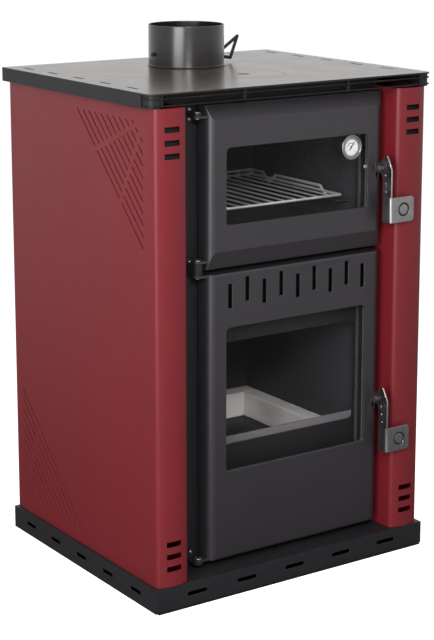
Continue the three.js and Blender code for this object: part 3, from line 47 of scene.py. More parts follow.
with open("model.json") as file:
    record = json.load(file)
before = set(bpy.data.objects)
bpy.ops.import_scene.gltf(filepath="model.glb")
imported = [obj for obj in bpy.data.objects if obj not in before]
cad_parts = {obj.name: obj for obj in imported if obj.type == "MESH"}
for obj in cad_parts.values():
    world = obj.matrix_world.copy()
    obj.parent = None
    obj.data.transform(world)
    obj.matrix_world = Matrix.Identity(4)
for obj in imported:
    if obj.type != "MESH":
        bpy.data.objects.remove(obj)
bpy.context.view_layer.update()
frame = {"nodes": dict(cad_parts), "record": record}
RECORD = frame["record"]
BODY_OF = {n: b for b, nodes in RECORD["behaviour"]["bodies"].items() for n in nodes}
SLOT_OF = {row["node"]: row["material_slot"] for row in RECORD["subparts"]}
MM = 0.001
SHARP = math.radians(38)
TOUCH = MM / 50
MIX_FIRST, MIX_SECOND, MIX_RESULT = 6, 7, 2


# Sizes and colours that a user would change

def length(name, description, millimetres):
    return bpy.props.FloatProperty(
        name=name, description=description, default=millimetres * MM,
        min=0.0, unit="LENGTH", precision=5,
    )


def colour(name, description, value):
    return bpy.props.FloatVectorProperty(
        name=name, description=description, default=value,
        size=3, min=0.0, max=1.0, subtype="COLOR",
    )


class StoveSizes(bpy.types.PropertyGroup):
    """Sizes of the edges, bends and small fittings."""

    sheet_edge: length("Sheet edge", "Rounding on the edges of thin folded sheet", 0.35)
    plate_edge: length("Plate edge", "Rounding on the edges of plates and bars", 0.6)
    brick_edge: length("Brick edge", "Rounding on the edges of the firebricks", 2.2)
    brick_chips: length("Brick chips", "How far the bricks' faces wander", 1.1)
    rope_edge: length("Rope edge", "Rounding of the door ropes", 2.3)
    wire_bend: length("Wire bend", "Radius of the rack's bends along the wire's middle", 4.0)
    collar_lip: length("Collar lip", "Rounding of the flue collar's rim", 0.9)
    screw_radius: length("Screw radius", "Radius of the screw heads", 3.3)
    screw_rise: length("Screw rise", "Height of the screw heads", 1.9)
    print_rise: length("Print rise", "Thickness of the printed marks on the dial", 0.04)


class StoveColours(bpy.types.PropertyGroup):
    """Colours of the paints, metals and other finishes."""

    enamel: colour("Enamel", "Side panels and front strips", (0.112, 0.008, 0.0115))
    door: colour("Door paint", "The two doors", (0.0145, 0.0128, 0.015))
    black: colour("Black paint", "Frame, plinth, rear covers and hinges", (0.0105, 0.0097, 0.011))
    top: colour("Top paint", "Top plate, lid and flue collar", (0.023, 0.0165, 0.0125))
    inner: colour("Inner steel", "Oven, firebox and ledges", (0.025, 0.023, 0.026))
    iron: colour("Cast iron", "Grate and damper disc", (0.024, 0.022, 0.022))
    polished: colour("Polished steel", "Levers and bezel", (0.31, 0.3, 0.3))
    zinc: colour("Zinc plate", "Pins, keepers, screws, ash pan and slide", (0.36, 0.36, 0.37))
    brick: colour("Firebrick", "Light firebrick", (0.84, 0.81, 0.78))
    rope: colour("Rope", "Glass-fibre rope and seals", (0.03, 0.029, 0.031))
    glass: colour("Glass", "Tint of the ceramic glass", (0.012, 0.011, 0.012))
    dial: colour("Dial", "Face of the thermometer", (0.8, 0.8, 0.77))
    print: colour("Print", "Marks and needle of the thermometer", (0.01, 0.01, 0.011))
    floor: colour("Floor", "Floor under the stove", (0.8, 0.8, 0.8))


# Finishes

class Finish:
    """One material: a principled shader and the nodes that these finishes share."""

    def __init__(self, name):
        self.material = bpy.data.materials.new(name)
        self.material.use_nodes = True
        self.tree = self.material.node_tree
        self.tree.nodes.clear()
        self.shader = self.add("ShaderNodeBsdfPrincipled")
        self.add("ShaderNodeOutputMaterial", {"Surface": self.shader.outputs["BSDF"]})
        self.place = self.add("ShaderNodeTexCoord").outputs["Object"]

    def feed(self, socket, value):
        """Links the socket to another one, or gives it a fixed value."""
        if isinstance(value, bpy.types.NodeSocket):
            self.tree.links.new(value, socket)
        else:
            socket.default_value = value

    def add(self, kind, inputs=None, **settings):
        node = self.tree.nodes.new(kind)
        for key, value in settings.items():
            setattr(node, key, value)
        for key, value in (inputs or {}).items():
            self.feed(node.inputs[key], value)
        return node

    def set(self, **values):
        """Feeds inputs of the shader, named with underscores for spaces."""
        for key, value in values.items():
            self.feed(self.shader.inputs[key.replace("_", " ")], value)

    def mapped(self, socket, value):
        mapping = self.add("ShaderNodeMapping", {socket: value, "Vector": self.place})
        return mapping.outputs["Vector"]

    def noise(self, scale, detail=2.0, stretch=(1, 1, 1), roughness=0.5):
        place = self.mapped("Scale", stretch)
        inputs = {"Scale": scale, "Detail": detail, "Roughness": roughness, "Vector": place}
        return self.add("ShaderNodeTexNoise", inputs).outputs["Fac"]

    def cells(self, scale):
        inputs = {"Scale": scale, "Vector": self.place}
        return self.add("ShaderNodeTexVoronoi", inputs).outputs["Distance"]

    def stripes(self, scale, direction, turn):
        inputs = {"Scale": scale, "Vector": self.mapped("Rotation", turn)}
        return self.add("ShaderNodeTexWave", inputs, bands_direction=direction).outputs["Fac"]

    def between(self, source, low, high, to_low=0.0, to_high=1.0):
        limits = {"From Min": low, "From Max": high, "To Min": to_low, "To Max": to_high}
        return self.add("ShaderNodeMapRange", {"Value": source, **limits}).outputs["Result"]

    def sum_of(self, first, second, operation="ADD"):
        node = self.add("ShaderNodeMath", {0: first, 1: second}, operation=operation)
        return node.outputs["Value"]

    def mixed(self, factor, first, second):
        """A mix of two colours, each a socket or three numbers."""
        node = self.add("ShaderNodeMix", {"Factor": factor}, data_type="RGBA")
        for index, value in ((MIX_FIRST, first), (MIX_SECOND, second)):
            linked = isinstance(value, bpy.types.NodeSocket)
            self.feed(node.inputs[index], value if linked else (*value, 1))
        return node.outputs[MIX_RESULT]

    def worn_edges(self, reach=0.0007):
        """1 where the surface turns sharply within that reach, broken up by noise."""
        rounded = self.add("ShaderNodeBevel", {"Radius": reach}, samples=4).outputs["Normal"]
        flat = self.add("ShaderNodeNewGeometry").outputs["Normal"]
        agree = self.add("ShaderNodeVectorMath", {0: rounded, 1: flat}, operation="DOT_PRODUCT")
        edge = self.between(agree.outputs["Value"], 0.99, 0.93)
        patches = self.between(self.noise(60, 4), 0.45, 0.62)
        return self.sum_of(edge, patches, "MULTIPLY")

    def bump(self, height, distance):
        inputs = {"Distance": distance, "Strength": 1.0, "Height": height}
        self.set(Normal=self.add("ShaderNodeBump", inputs).outputs["Normal"])


def shade(value, factor):
    return tuple(min(part * factor, 1) for part in value[:3])


def painted(name, base, roughness, peel, depth, specular, wear, drift=0.12, tint=(1, 1, 1)):
    """Paint on steel: slow drift of tone, fine peel, scuffs in the gloss and bare edges."""
    finish = Finish(name)
    slow = finish.between(finish.noise(4, 3), 0.3, 0.7)
    tone = finish.mixed(slow, shade(base, 1 - drift), shade(base, 1 + drift))
    fleck = finish.between(finish.noise(700, 2), 0.35, 0.7)
    tone = finish.mixed(fleck, tone, shade(base, 1 + 2 * drift))
    scuffs = finish.noise(18, 5, roughness=0.65)
    finish.bump(finish.noise(peel, 3), depth)
    finish.set(
        Base_Color=finish.mixed(finish.worn_edges(), tone, wear),
        Roughness=finish.between(scuffs, 0.3, 0.75, roughness * 0.94, roughness * 1.12),
        Specular_IOR_Level=specular,
        Specular_Tint=(*tint, 1),
    )
    return finish.material


def metal(name, base, roughness, stretch=(1, 1, 1), metallic=1.0):
    """Bare or plated steel with drawn lines, cloudy gloss and dull patches."""
    finish = Finish(name)
    cloud = finish.between(finish.noise(35, 4), 0.3, 0.72)
    lines = finish.noise(420, 3, stretch)
    finish.bump(lines, 0.00002)
    finish.set(
        Base_Color=finish.mixed(cloud, shade(base, 0.82), shade(base, 1.06)),
        Roughness=finish.between(lines, 0.3, 0.75, roughness * 0.8, roughness * 1.5),
        Metallic=metallic,
    )
    return finish.material


def cast(name, base):
    """Cast iron: sand-cast grain over a slow waviness."""
    finish = Finish(name)
    grain = finish.noise(900, 4, roughness=0.7)
    tone = finish.between(finish.noise(40, 4), 0.3, 0.7)
    finish.bump(grain, 0.0003)
    finish.set(
        Base_Color=finish.mixed(tone, shade(base, 0.7), shade(base, 1.35)),
        Roughness=finish.between(grain, 0.2, 0.8, 0.6, 0.85),
        Specular_IOR_Level=0.4,
    )
    return finish.material


def brick(name, base):
    """Light firebrick: pores darkened as painted shade, sandy grain and faint soot."""
    finish = Finish(name)
    soot = finish.between(finish.noise(11, 4), 0.38, 0.75)
    tone = finish.mixed(soot, base, shade(base, 0.72))
    pores = finish.between(finish.cells(420), 0.0, 0.35)
    grain = finish.noise(520, 5, roughness=0.7)
    finish.bump(finish.sum_of(grain, pores), 0.0006)
    finish.set(
        Base_Color=finish.mixed(pores, shade(base, 0.6), tone),
        Roughness=finish.between(grain, 0.2, 0.8, 0.82, 0.98),
        Specular_IOR_Level=0.2,
    )
    return finish.material


def woven(name, base):
    """Glass-fibre rope: crossing plaits with pale and dark yarns."""
    finish = Finish(name)
    left = finish.stripes(150, "X", (0, math.radians(45), math.radians(35)))
    right = finish.stripes(150, "X", (0, math.radians(-45), math.radians(-35)))
    plait = finish.sum_of(left, right, "MAXIMUM")
    yarn = finish.between(finish.noise(900, 2), 0.4, 0.62)
    tone = finish.mixed(yarn, shade(base, 0.45), shade(base, 2.6))
    finish.bump(plait, 0.0007)
    # Darker where the plaits sink: painted shade in the grooves between them.
    finish.set(
        Base_Color=finish.mixed(plait, shade(base, 0.35), tone),
        Roughness=finish.between(yarn, 0, 1, 0.8, 0.95),
    )
    return finish.material


def pane(name, tint, cover):
    """Thin clear glass with a faint haze that the gloss shows."""
    finish = Finish(name)
    haze = finish.between(finish.noise(14, 4), 0.35, 0.8)
    finish.set(
        Base_Color=finish.mixed(haze, tint, shade(tint, 1.6)),
        Roughness=finish.between(haze, 0, 1, 0.01, 0.05),
        Alpha=cover,
        Specular_IOR_Level=0.5,
    )
    return finish.material


def printed(name, base, roughness=0.5):
    """A thin even coat with a trace of grain."""
    finish = Finish(name)
    grain = finish.between(finish.noise(260, 3), 0.35, 0.7)
    finish.bump(grain, 0.00001)
    finish.set(
        Base_Color=finish.mixed(grain, shade(base, 0.94), shade(base, 1.04)),
        Roughness=finish.between(grain, 0, 1, roughness, roughness + 0.1),
    )
    return finish.material


@functools.cache
def finish_for(slot):
    c = bpy.context.scene.stove_colours
    makers = {
        "red_panel": lambda: painted(
            "Red enamel", c.enamel, 0.4, 1300, 0.00005, 0.3, shade(c.enamel, 0.35), 0.07
        ),
        "door_paint": lambda: painted(
            "Dark grey door paint", c.door, 0.38, 1700, 0.00006, 0.5, (0.09, 0.088, 0.09), 0.08
        ),
        "black_steel": lambda: painted(
            "Black stove paint", c.black, 0.5, 1700, 0.00009, 0.22, (0.05, 0.048, 0.05), 0.1
        ),
        "satin_top": lambda: painted(
            "Satin black top paint", c.top, 0.23, 1500, 0.00003, 0.6, (0.05, 0.046, 0.042),
            drift=0.1, tint=(1.0, 0.88, 0.8),
        ),
        "inner_steel": lambda: painted(
            "Heat-dulled inner steel", c.inner, 0.68, 900, 0.00003, 0.35, (0.06, 0.058, 0.06), 0.08
        ),
        "cast_iron": lambda: cast("Cast iron", c.iron),
        "chrome": lambda: metal("Polished steel", c.polished, 0.27, (1, 1, 0.06)),
        "zinc_steel": lambda: metal("Zinc plate", c.zinc, 0.34),
        "firebrick": lambda: brick("Light firebrick", c.brick),
        "rope": lambda: woven("Glass-fibre rope", c.rope),
        "glass": lambda: pane("Ceramic glass", c.glass, 0.08),
        "dial": lambda: printed("White dial", c.dial),
        "needle": lambda: printed("Black print", c.print, 0.4),
    }
    return makers[slot]()


# Modelling by hand

def select_only(*objects):
    bpy.ops.object.select_all(action="DESELECT")
    for item in objects:
        item.select_set(True)
    bpy.context.view_layer.objects.active = objects[0]


def settled(name):
    """Names the new primitive and applies its place to its mesh."""
    piece = bpy.context.object
    piece.name = name
    piece.data.name = name
    bpy.ops.object.transform_apply(location=True, rotation=True, scale=True)
    return piece


def block(name, low, high):
    low, high = Vector(low), Vector(high)
    bpy.ops.mesh.primitive_cube_add(size=1, location=(low + high) / 2, scale=high - low)
    return settled(name)


def drum(name, axis, radius, low, high, a, b, sides=96):
    middle = (low + high) / 2
    place, turn = {
        "x": ((middle, a, b), (0, math.pi / 2, 0)),
        "y": ((a, middle, b), (math.pi / 2, 0, 0)),
        "z": ((a, b, middle), (0, 0, 0)),
    }[axis]
    bpy.ops.mesh.primitive_cylinder_add(
        vertices=sides, radius=radius, depth=high - low, location=place, rotation=turn
    )
    return settled(name)


def edit(piece, mode):
    """Enters edit mode on one piece with that select mode, keeping what code has picked."""
    select_only(piece)
    bpy.context.tool_settings.mesh_select_mode = tuple(mode == m for m in ("VERT", "EDGE", "FACE"))
    bpy.ops.object.mode_set(mode="EDIT")


def leave_edit():
    bpy.ops.object.mode_set(mode="OBJECT")


def unpick(mesh):
    for part in (mesh.vertices, mesh.edges, mesh.polygons):
        part.foreach_set("select", [False] * len(part))


def pick_edges(piece, wanted):
    mesh = piece.data
    unpick(mesh)
    for edge in mesh.edges:
        a, b = (mesh.vertices[i].co for i in edge.vertices)
        edge.select = wanted(a, b)
    edit(piece, "EDGE")


def pick_faces(piece, wanted=lambda face: True):
    unpick(piece.data)
    for face in piece.data.polygons:
        face.select = wanted(face)
    edit(piece, "FACE")


def round_edges(piece, wanted, offset, segments=8):
    pick_edges(piece, wanted)
    bpy.ops.mesh.bevel(offset=offset, segments=segments, affect="EDGES", clamp_overlap=False)
    leave_edit()
    return piece


def upright(a, b):
    return abs(a.x - b.x) < MM / 100 and abs(a.y - b.y) < MM / 100


def apply_modifier(piece, kind, **settings):
    select_only(piece)
    bpy.ops.object.modifier_add(type=kind)
    modifier = piece.modifiers[-1]
    for key, value in settings.items():
        setattr(modifier, key, value)
    bpy.ops.object.modifier_apply(modifier=modifier.name)


def combine(piece, others, operation):
    for other in others:
        apply_modifier(piece, "BOOLEAN", operation=operation, object=other, solver="EXACT")
        bpy.data.objects.remove(other)
    return piece


def carve(piece, *cutters):
    return combine(piece, cutters, "DIFFERENCE")


def weld(piece, *others):
    return combine(piece, others, "UNION")


def smooth(piece):
    """Smooths the curves and leaves the sharp edges sharp."""
    select_only(piece)
    bpy.ops.object.shade_smooth_by_angle(angle=SHARP)


def soften(piece, width, segments=2, limit=SHARP):
    """Rounds the sharp edges, smooths the curves and keeps the flats flat."""
    pick_faces(piece)
    bpy.ops.mesh.quads_convert_to_tris(quad_method="BEAUTY", ngon_method="BEAUTY")
    leave_edit()
    apply_modifier(
        piece, "BEVEL", width=width, segments=segments, limit_method="ANGLE",
        angle_limit=limit, use_clamp_overlap=False, loop_slide=False,
    )
    smooth(piece)
    apply_modifier(piece, "WEIGHTED_NORMAL", keep_sharp=True, weight=80)
    return piece


def copy_of(node, name):
    """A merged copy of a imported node."""
    mesh = frame["nodes"][node].data.copy()
    mesh.name = name
    mesh.materials.clear()
    piece = bpy.data.objects.new(name, mesh)
    bpy.context.scene.collection.objects.link(piece)
    select_only(piece)
    bpy.ops.mesh.customdata_custom_splitnormals_clear()
    pick_faces(piece)
    bpy.ops.mesh.remove_doubles(threshold=TOUCH)
    bpy.ops.mesh.normals_make_consistent(inside=False)
    leave_edit()
    return piece


def place_piece(piece, body, slot, *nodes):
    """Gives a finished piece the finish of its slot and its body, and hides the nodes that it stands
    for.
    """
    piece.data.materials.clear()
    piece.data.materials.append(finish_for(slot))
    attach(piece, body)
    if nodes:
        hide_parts(*nodes)
    return piece


def stand_in(piece, node):
    """A finished piece that takes the place, body and slot finish of one node."""
    return place_piece(piece, BODY_OF[node], SLOT_OF[node], node)


def refinish(piece, material):
    """Puts another material in the place of the one that came with the slot."""
    piece.data.materials[0] = material


def repaint(piece, material, wanted):
    """Gives the faces that are wanted a finish of their own."""
    piece.data.materials.append(material)
    for face in piece.data.polygons:
        if wanted(face):
            face.material_index = len(piece.data.materials) - 1


def dress(node, name, width, segments=2):
    return stand_in(soften(copy_of(node, name), width, segments), node)


def bent_rod(name, points, radius, bend, sides=14):
    """A round bar drawn along straight runs, with a spun bend at every corner."""
    points = [Vector(p) for p in points]
    heading = (points[1] - points[0]).normalized()
    bpy.ops.mesh.primitive_circle_add(
        vertices=sides,
        radius=radius,
        location=points[0],
        rotation=heading.to_track_quat("Z", "Y").to_euler(),
    )
    piece = settled(name)
    edit(piece, "EDGE")
    bpy.ops.mesh.select_all(action="SELECT")
    at = points[0]
    for here, after in zip(points[1:], points[2:] + [None]):
        if after is None:
            stop = here
        else:
            onward = (after - here).normalized()
            angle = heading.angle(onward)
            reach = bend * math.tan(angle / 2)
            stop = here - heading * reach
        bpy.ops.mesh.extrude_region_move(TRANSFORM_OT_translate={"value": stop - at})
        if after is not None:
            axis = heading.cross(onward).normalized()
            centre = stop + axis.cross(heading) * bend
            steps = max(2, math.ceil(angle / math.radians(15)))
            bpy.ops.mesh.spin(steps=steps, angle=angle, center=centre, axis=-axis)
            at = here + onward * reach
            heading = onward
    bpy.ops.mesh.select_all(action="SELECT")
    bpy.ops.mesh.remove_doubles(threshold=TOUCH)
    bpy.ops.mesh.select_all(action="DESELECT")
    bpy.ops.mesh.select_non_manifold()
    bpy.ops.mesh.fill_holes(sides=0)
    bpy.ops.mesh.select_all(action="SELECT")
    bpy.ops.mesh.normals_make_consistent(inside=False)
    leave_edit()
    return piece


def joined(pieces):
    select_only(*pieces)
    bpy.ops.object.join()
    return pieces[0]


def copied_to(piece, name, offset, turn=None):
    """A copy with its own mesh, turned about the origin and then moved."""
    select_only(piece)
    bpy.ops.object.duplicate()
    copy = bpy.context.object
    copy.name = name
    copy.data.name = name
    copy.matrix_world = Matrix.Translation(offset) @ (turn or Matrix.Identity(4))
    bpy.ops.object.transform_apply(location=True, rotation=True, scale=True)
    return copy


def sizes():
    return bpy.context.scene.stove_sizes


class StoveOperator(bpy.types.Operator):
    """Base of the operators that add the stove's pieces."""

    bl_options = {"REGISTER", "UNDO"}


class AddSheetwork(StoveOperator):
    """Adds the plinth, side panels, rear covers, body and other folded sheet."""

    bl_idname = "stove.add_sheetwork"
    bl_label = "Sheetwork"

    def execute(self, context):
        thin = {
            "base_plinth": "plinth",
            "side_panel_left": "enamel_panel_left",
            "side_panel_right": "enamel_panel_right",
            "rear_cover": "slotted_rear_cover",
            "air_panel": "rear_air_panel",
            "air_duct": "inlet_duct",
            "air_slide": "sliding_air_plate",
            "ash_pan": "folded_ash_pan",
            "rack_runner_left": "rack_ledge_left",
            "rack_runner_right": "rack_ledge_right",
            "oven_box": "oven_liner",
        }
        thick = {
            "front_frame": "door_frame_plate",
            "firebox_body": "body_side_walls",
            "firebox_back": "body_back_wall",
            "smoke_baffle": "baffle_plate",
            "hearth_plate": "hearth_floor",
            "log_guard": "log_guard_plate",
        }
        for node, name in thin.items():
            dress(node, name, sizes().sheet_edge)
        grey = painted(
            "Greyed steel", (0.13, 0.12, 0.13), 0.5, 900, 0.00004, 0.5, (0.1, 0.1, 0.1)
        )
        for node, name in thick.items():
            piece = dress(node, name, sizes().plate_edge)
            if node in ("smoke_baffle", "log_guard"):
                refinish(piece, grey)
        self.add_slot_shades()
        return {"FINISHED"}

    def add_slot_shades(self):
        """Adds a dark plate behind the upper slots of each front strip, so that the slots show dark:
        a sheet of painted shade.
        """
        low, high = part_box("side_panel_right")
        front, sheet = low.y + 13.5 * MM, 1.5 * MM
        inner, outer = low.x + 4 * MM, high.x - 1.4 * MM
        bottom, top = high.z - 86 * MM, high.z - 22 * MM
        for side, name in ((-1, "left"), (1, "right")):
            near, far = sorted((side * inner, side * outer))
            plate = block(
                "slot_shade_" + name, (near, front, bottom), (far, front + sheet, top)
            )
            place_piece(soften(plate, sizes().sheet_edge), "stove", "black_steel")


class AddHearth(StoveOperator):
    """Adds the cast grate and the firebricks."""

    bl_idname = "stove.add_hearth"
    bl_label = "Grate and firebricks"

    def execute(self, context):
        dress("grate", "cast_grate", 2 * sizes().plate_edge, 3)
        texture = bpy.data.textures.new("brick surface", "CLOUDS")
        texture.noise_scale = 12 * MM
        for side in ("left", "right", "back"):
            self.add_brick("firebrick_" + side, "brick_" + side, texture)
        return {"FINISHED"}

    def add_brick(self, node, name, texture):
        """Adds one brick, cut into a grid so that its faces can wander."""
        low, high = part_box(node)
        piece = block(name, low, high)
        apply_modifier(
            piece, "BEVEL", width=sizes().brick_edge, segments=3, use_clamp_overlap=False
        )
        step = 7 * MM
        for axis in range(3):
            count = int((high[axis] - low[axis]) / step)
            for i in range(1, count):
                at, normal = (low + high) / 2, Vector()
                at[axis] = low[axis] + (high[axis] - low[axis]) * i / count
                normal[axis] = 1
                pick_faces(piece)
                bpy.ops.mesh.bisect(plane_co=at, plane_no=normal)
                leave_edit()
        apply_modifier(
            piece, "DISPLACE", texture=texture, texture_coords="LOCAL",
            strength=sizes().brick_chips, mid_level=1.0,
        )
        smooth(piece)
        stand_in(piece, node)


class AddTop(StoveOperator):
    """Adds the top plate with its skirt, lid seat, flue hole and edge slots, and the grille."""

    bl_idname = "stove.add_top"
    bl_label = "Top plate"

    def execute(self, context):
        low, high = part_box("top_plate")
        lid_low, lid_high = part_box("cooking_lid")
        collar_low, collar_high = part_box("flue_collar")
        grille_low, grille_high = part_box("front_grille")
        gap, sheet, flange, back_flange = 0.3 * MM, 2 * MM, 13 * MM, 7.5 * MM
        under = grille_high.z + gap
        skirt_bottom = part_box("side_panel_left")[1].z
        skirt_front, skirt_top = grille_high.y + gap, high.z - 1.5 * MM
        lid_at = (lid_low + lid_high) / 2
        lid_radius, lid_seat = (lid_high.x - lid_low.x) / 2, 7 * MM
        flue_at, flue_radius = (collar_low + collar_high) / 2, 65 * MM
        plate = round_edges(
            block("stove_top", (low.x, low.y, under), high),
            lambda a, b: upright(a, b) and a.y < low.y + MM,
            12 * MM,
        )
        skirt = block(
            "skirt", (low.x, skirt_front, skirt_bottom), (high.x, high.y, skirt_top)
        )
        carve(
            skirt,
            block(
                "hollow",
                (low.x + sheet, low.y - MM, skirt_bottom + sheet),
                (high.x - sheet, high.y - sheet, high.z + MM),
            ),
            block(
                "mouth",
                (low.x + flange, low.y - MM, skirt_bottom - MM),
                (high.x - flange, high.y - back_flange, skirt_bottom + 2 * sheet),
            ),
        )
        ledge_radius, ledge_depth = lid_radius + lid_seat, 3 * MM
        ledge = drum(
            "ledge", "z", ledge_radius, under - ledge_depth, under + MM, lid_at.x, lid_at.y
        )
        corners = []
        corner_inner, corner_outer = 264 * MM, high.x - 3 * MM

        def outer_front(a, b):
            return upright(a, b) and a.y < skirt_front and abs(a.x) > corner_inner + 6 * MM

        for side in (-1, 1):
            near, far = sorted((side * corner_inner, side * corner_outer))
            corner = block(
                "corner",
                (near, grille_low.y + 3 * MM, skirt_bottom),
                (far, skirt_front + sheet, skirt_top),
            )
            corners.append(round_edges(corner, outer_front, 9 * MM))
        plate = weld(plate, skirt, ledge, *corners)
        above, below = high.z + 2 * MM, under - 6 * MM
        cutters = [
            drum("seat", "z", lid_radius + 0.35 * MM, under, above, lid_at.x, lid_at.y),
            drum("well", "z", lid_radius - lid_seat, below, above, lid_at.x, lid_at.y),
            drum("flue", "z", flue_radius, below, above, flue_at.x, flue_at.y),
        ]
        first, last, count = low.y + 88.5 * MM, high.y - 51 * MM, 5
        inset, half_width, half_length = 26 * MM, 2.5 * MM, 16.5 * MM
        for side in (-1, 1):
            x = side * (high.x - inset)
            for i in range(count):
                y = first + (last - first) * i / (count - 1)
                slot = block(
                    "slot",
                    (x - half_width, y - half_length, below),
                    (x + half_width, y + half_length, above),
                )
                cutters.append(round_edges(slot, upright, half_width - 0.05 * MM, 5))
        carve(plate, *cutters)
        stand_in(soften(plate, sizes().plate_edge, 3), "top_plate")
        repaint(plate, finish_for("black_steel"), lambda face: face.normal.z < 0.5)
        # The grille takes the black paint darkened to six tenths with little gloss: painted shade on
        # its bars.
        black = shade(context.scene.stove_colours.black, 0.6)
        refinish(
            dress("front_grille", "edge_grille", 0.4 * MM),
            painted("Black grille paint with painted shade", black, 0.45, 1700, 0.00003, 0.15, (0.05, 0.05, 0.05)),
        )
        return {"FINISHED"}


class AddLid(StoveOperator):
    """Adds the round cooking lid with its blind lifting slot."""

    bl_idname = "stove.add_lid"
    bl_label = "Cooking lid"

    def execute(self, context):
        low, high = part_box("cooking_lid")
        middle, radius = (low + high) / 2, (high.x - low.x) / 2
        thickness, step = 2.7 * MM, 7.3 * MM
        disc = drum("lift_out_lid", "z", radius, high.z - thickness, high.z, 0, middle.y)
        plug = drum("plug", "z", radius - step, low.z, high.z - MM, 0, middle.y)
        half_length, half_width, below, above = 10.5 * MM, 6 * MM, 2.2 * MM, 4 * MM
        slot = block(
            "slot", (-half_length, -half_width, -below), (half_length, half_width, above)
        )
        round_edges(slot, upright, half_width - 0.1 * MM, 6)
        turn = Matrix.Rotation(math.radians(-33), 4, "Z")
        cutter = copied_to(slot, "lifting slot", (0, middle.y, high.z - 3 * MM), turn)
        bpy.data.objects.remove(slot)
        lid = stand_in(soften(carve(weld(disc, plug), cutter), 0.5 * MM, 2), "cooking_lid")
        # The faces inside the lifting slot get a near-black finish: painted shade in the blind slot.
        repaint(
            lid,
            printed("Painted slot shade", (0.002, 0.002, 0.002), 0.9),
            lambda face: math.hypot(face.center.x, face.center.y - middle.y) < 12 * MM
            and low.z + MM < face.center.z < high.z - 0.3 * MM,
        )
        return {"FINISHED"}


class AddFlue(StoveOperator):
    """Adds the flue collar, the damper disc and the spindle with its wire loop."""

    bl_idname = "stove.add_flue"
    bl_label = "Flue collar and damper"

    def execute(self, context):
        low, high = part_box("flue_collar")
        disc_low, disc_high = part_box("damper_disc")
        y, z = (low.y + high.y) / 2, disc_high.z - 5.3 * MM
        self.add_collar(context, low, high, y, z)
        self.add_disc(disc_low, disc_high, y, z)
        self.add_wire(y, z)
        return {"FINISHED"}

    def add_collar(self, context, low, high, y, z):
        """Adds the open tube with its foot and the bore for the spindle."""
        radius, sheet, sides = 67 * MM, 2 * MM, 128
        foot_width, foot_rise, bore = 1.2 * MM, 1.6 * MM, 3.6 * MM
        tube = drum("round_flue_collar", "z", radius, low.z, high.z, 0, y, sides)
        weld(
            tube, drum("foot", "z", radius + foot_width, low.z, low.z + foot_rise, 0, y, sides)
        )
        carve(
            tube,
            drum("inside", "z", radius - sheet, low.z - MM, high.z + MM, 0, y, sides),
            drum("bore", "x", bore, -0.1, 0.1, y, z, 32),
        )
        stand_in(soften(tube, sizes().collar_lip, 3), "flue_collar")
        # The collar takes the top paint darkened to an eighth: painted shade that keeps its sides
        # dark.
        dark = shade(context.scene.stove_colours.top, 0.12)
        refinish(
            tube,
            painted("Satin collar paint with painted shade", dark, 0.23, 1500, 0.00001, 0.65, (0.03, 0.03, 0.03)),
        )

    def add_disc(self, low, high, y, z):
        """Adds the butterfly with the two clips that hold it on the spindle."""
        disc = drum("butterfly", "z", high.x, low.z, low.z + 2 * MM, 0, y, 72)
        half, reach, bore = 6 * MM, 4.8 * MM, 3.3 * MM
        for side in (-1, 1):
            x = side * high.x / 2
            clip = drum("clip", "x", 5.3 * MM, x - half, x + half, y, z, 32)
            saddle = block(
                "saddle", (x - half, y - reach, low.z + MM), (x + half, y + reach, z)
            )
            weld(disc, weld(clip, saddle))
        carve(disc, drum("bore", "x", bore, -0.08, 0.08, y, z, 32))
        stand_in(soften(disc, sizes().plate_edge), "damper_disc")

    def add_wire(self, y, z):
        """Adds the spindle and its loop: straight runs with a ball at every corner."""
        low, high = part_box("damper_spindle")
        radius, reach, sides = 3 * MM, 35.5 * MM, 18
        tip, bottom = high.x - radius, low.z + radius
        points = [
            (low.x, y, z),
            (tip - reach, y, z),
            (tip, y, high.z - radius),
            (tip - 0.42 * reach, y, bottom),
            (tip - 0.8 * reach, y, bottom + 2 * MM),
        ]
        runs = [
            bent_rod("damper_wire", pair, radius - 0.1 * MM, 0, sides)
            for pair in zip(points, points[1:])
        ]
        for corner in points[1:-1]:
            bpy.ops.mesh.primitive_uv_sphere_add(
                segments=sides, ring_count=12, radius=radius - 0.08 * MM, location=corner
            )
            runs.append(settled("bend"))
        wire = weld(*runs)
        smooth(wire)
        refinish(stand_in(wire, "damper_spindle"), finish_for("black_steel"))


class AddDoors(StoveOperator):
    """Adds the two door shells and the inner frames that hold the glass."""

    bl_idname = "stove.add_doors"
    bl_label = "Doors"

    def execute(self, context):
        for prefix in ("oven_door", "fire_door"):
            shell = copy_of(prefix + "_shell", prefix + "_front")
            if prefix == "fire_door":
                self.square_slots(shell)
            soften(shell, sizes().plate_edge, 3, math.radians(13))
            stand_in(shell, prefix + "_shell")
            dress(prefix + "_inner_frame", prefix + "_backing", sizes().plate_edge)
        return {"FINISHED"}

    def square_slots(self, shell):
        """Squares the ends of the air slots over the fire window."""
        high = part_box("fire_door_shell")[1]
        middle, end, count = 24 * MM, 138.4 * MM, 9
        drop, stagger = 39, 8.5
        half_width, half_height, corner = 4.15 * MM, 20.65 * MM, 1.2 * MM
        front, back = -0.215, -0.2
        cutters = []
        for i in range(count):
            x = middle - end + 2 * end * i / (count - 1)
            z = high.z - (drop - stagger * (i % 2)) * MM
            slot = block(
                "slot",
                (x - half_width, front, z - half_height),
                (x + half_width, back, z + half_height),
            )
            cutters.append(round_edges(slot, lambda a, b: abs(a.y - b.y) > MM, corner, 3))
        carve(shell, *cutters)


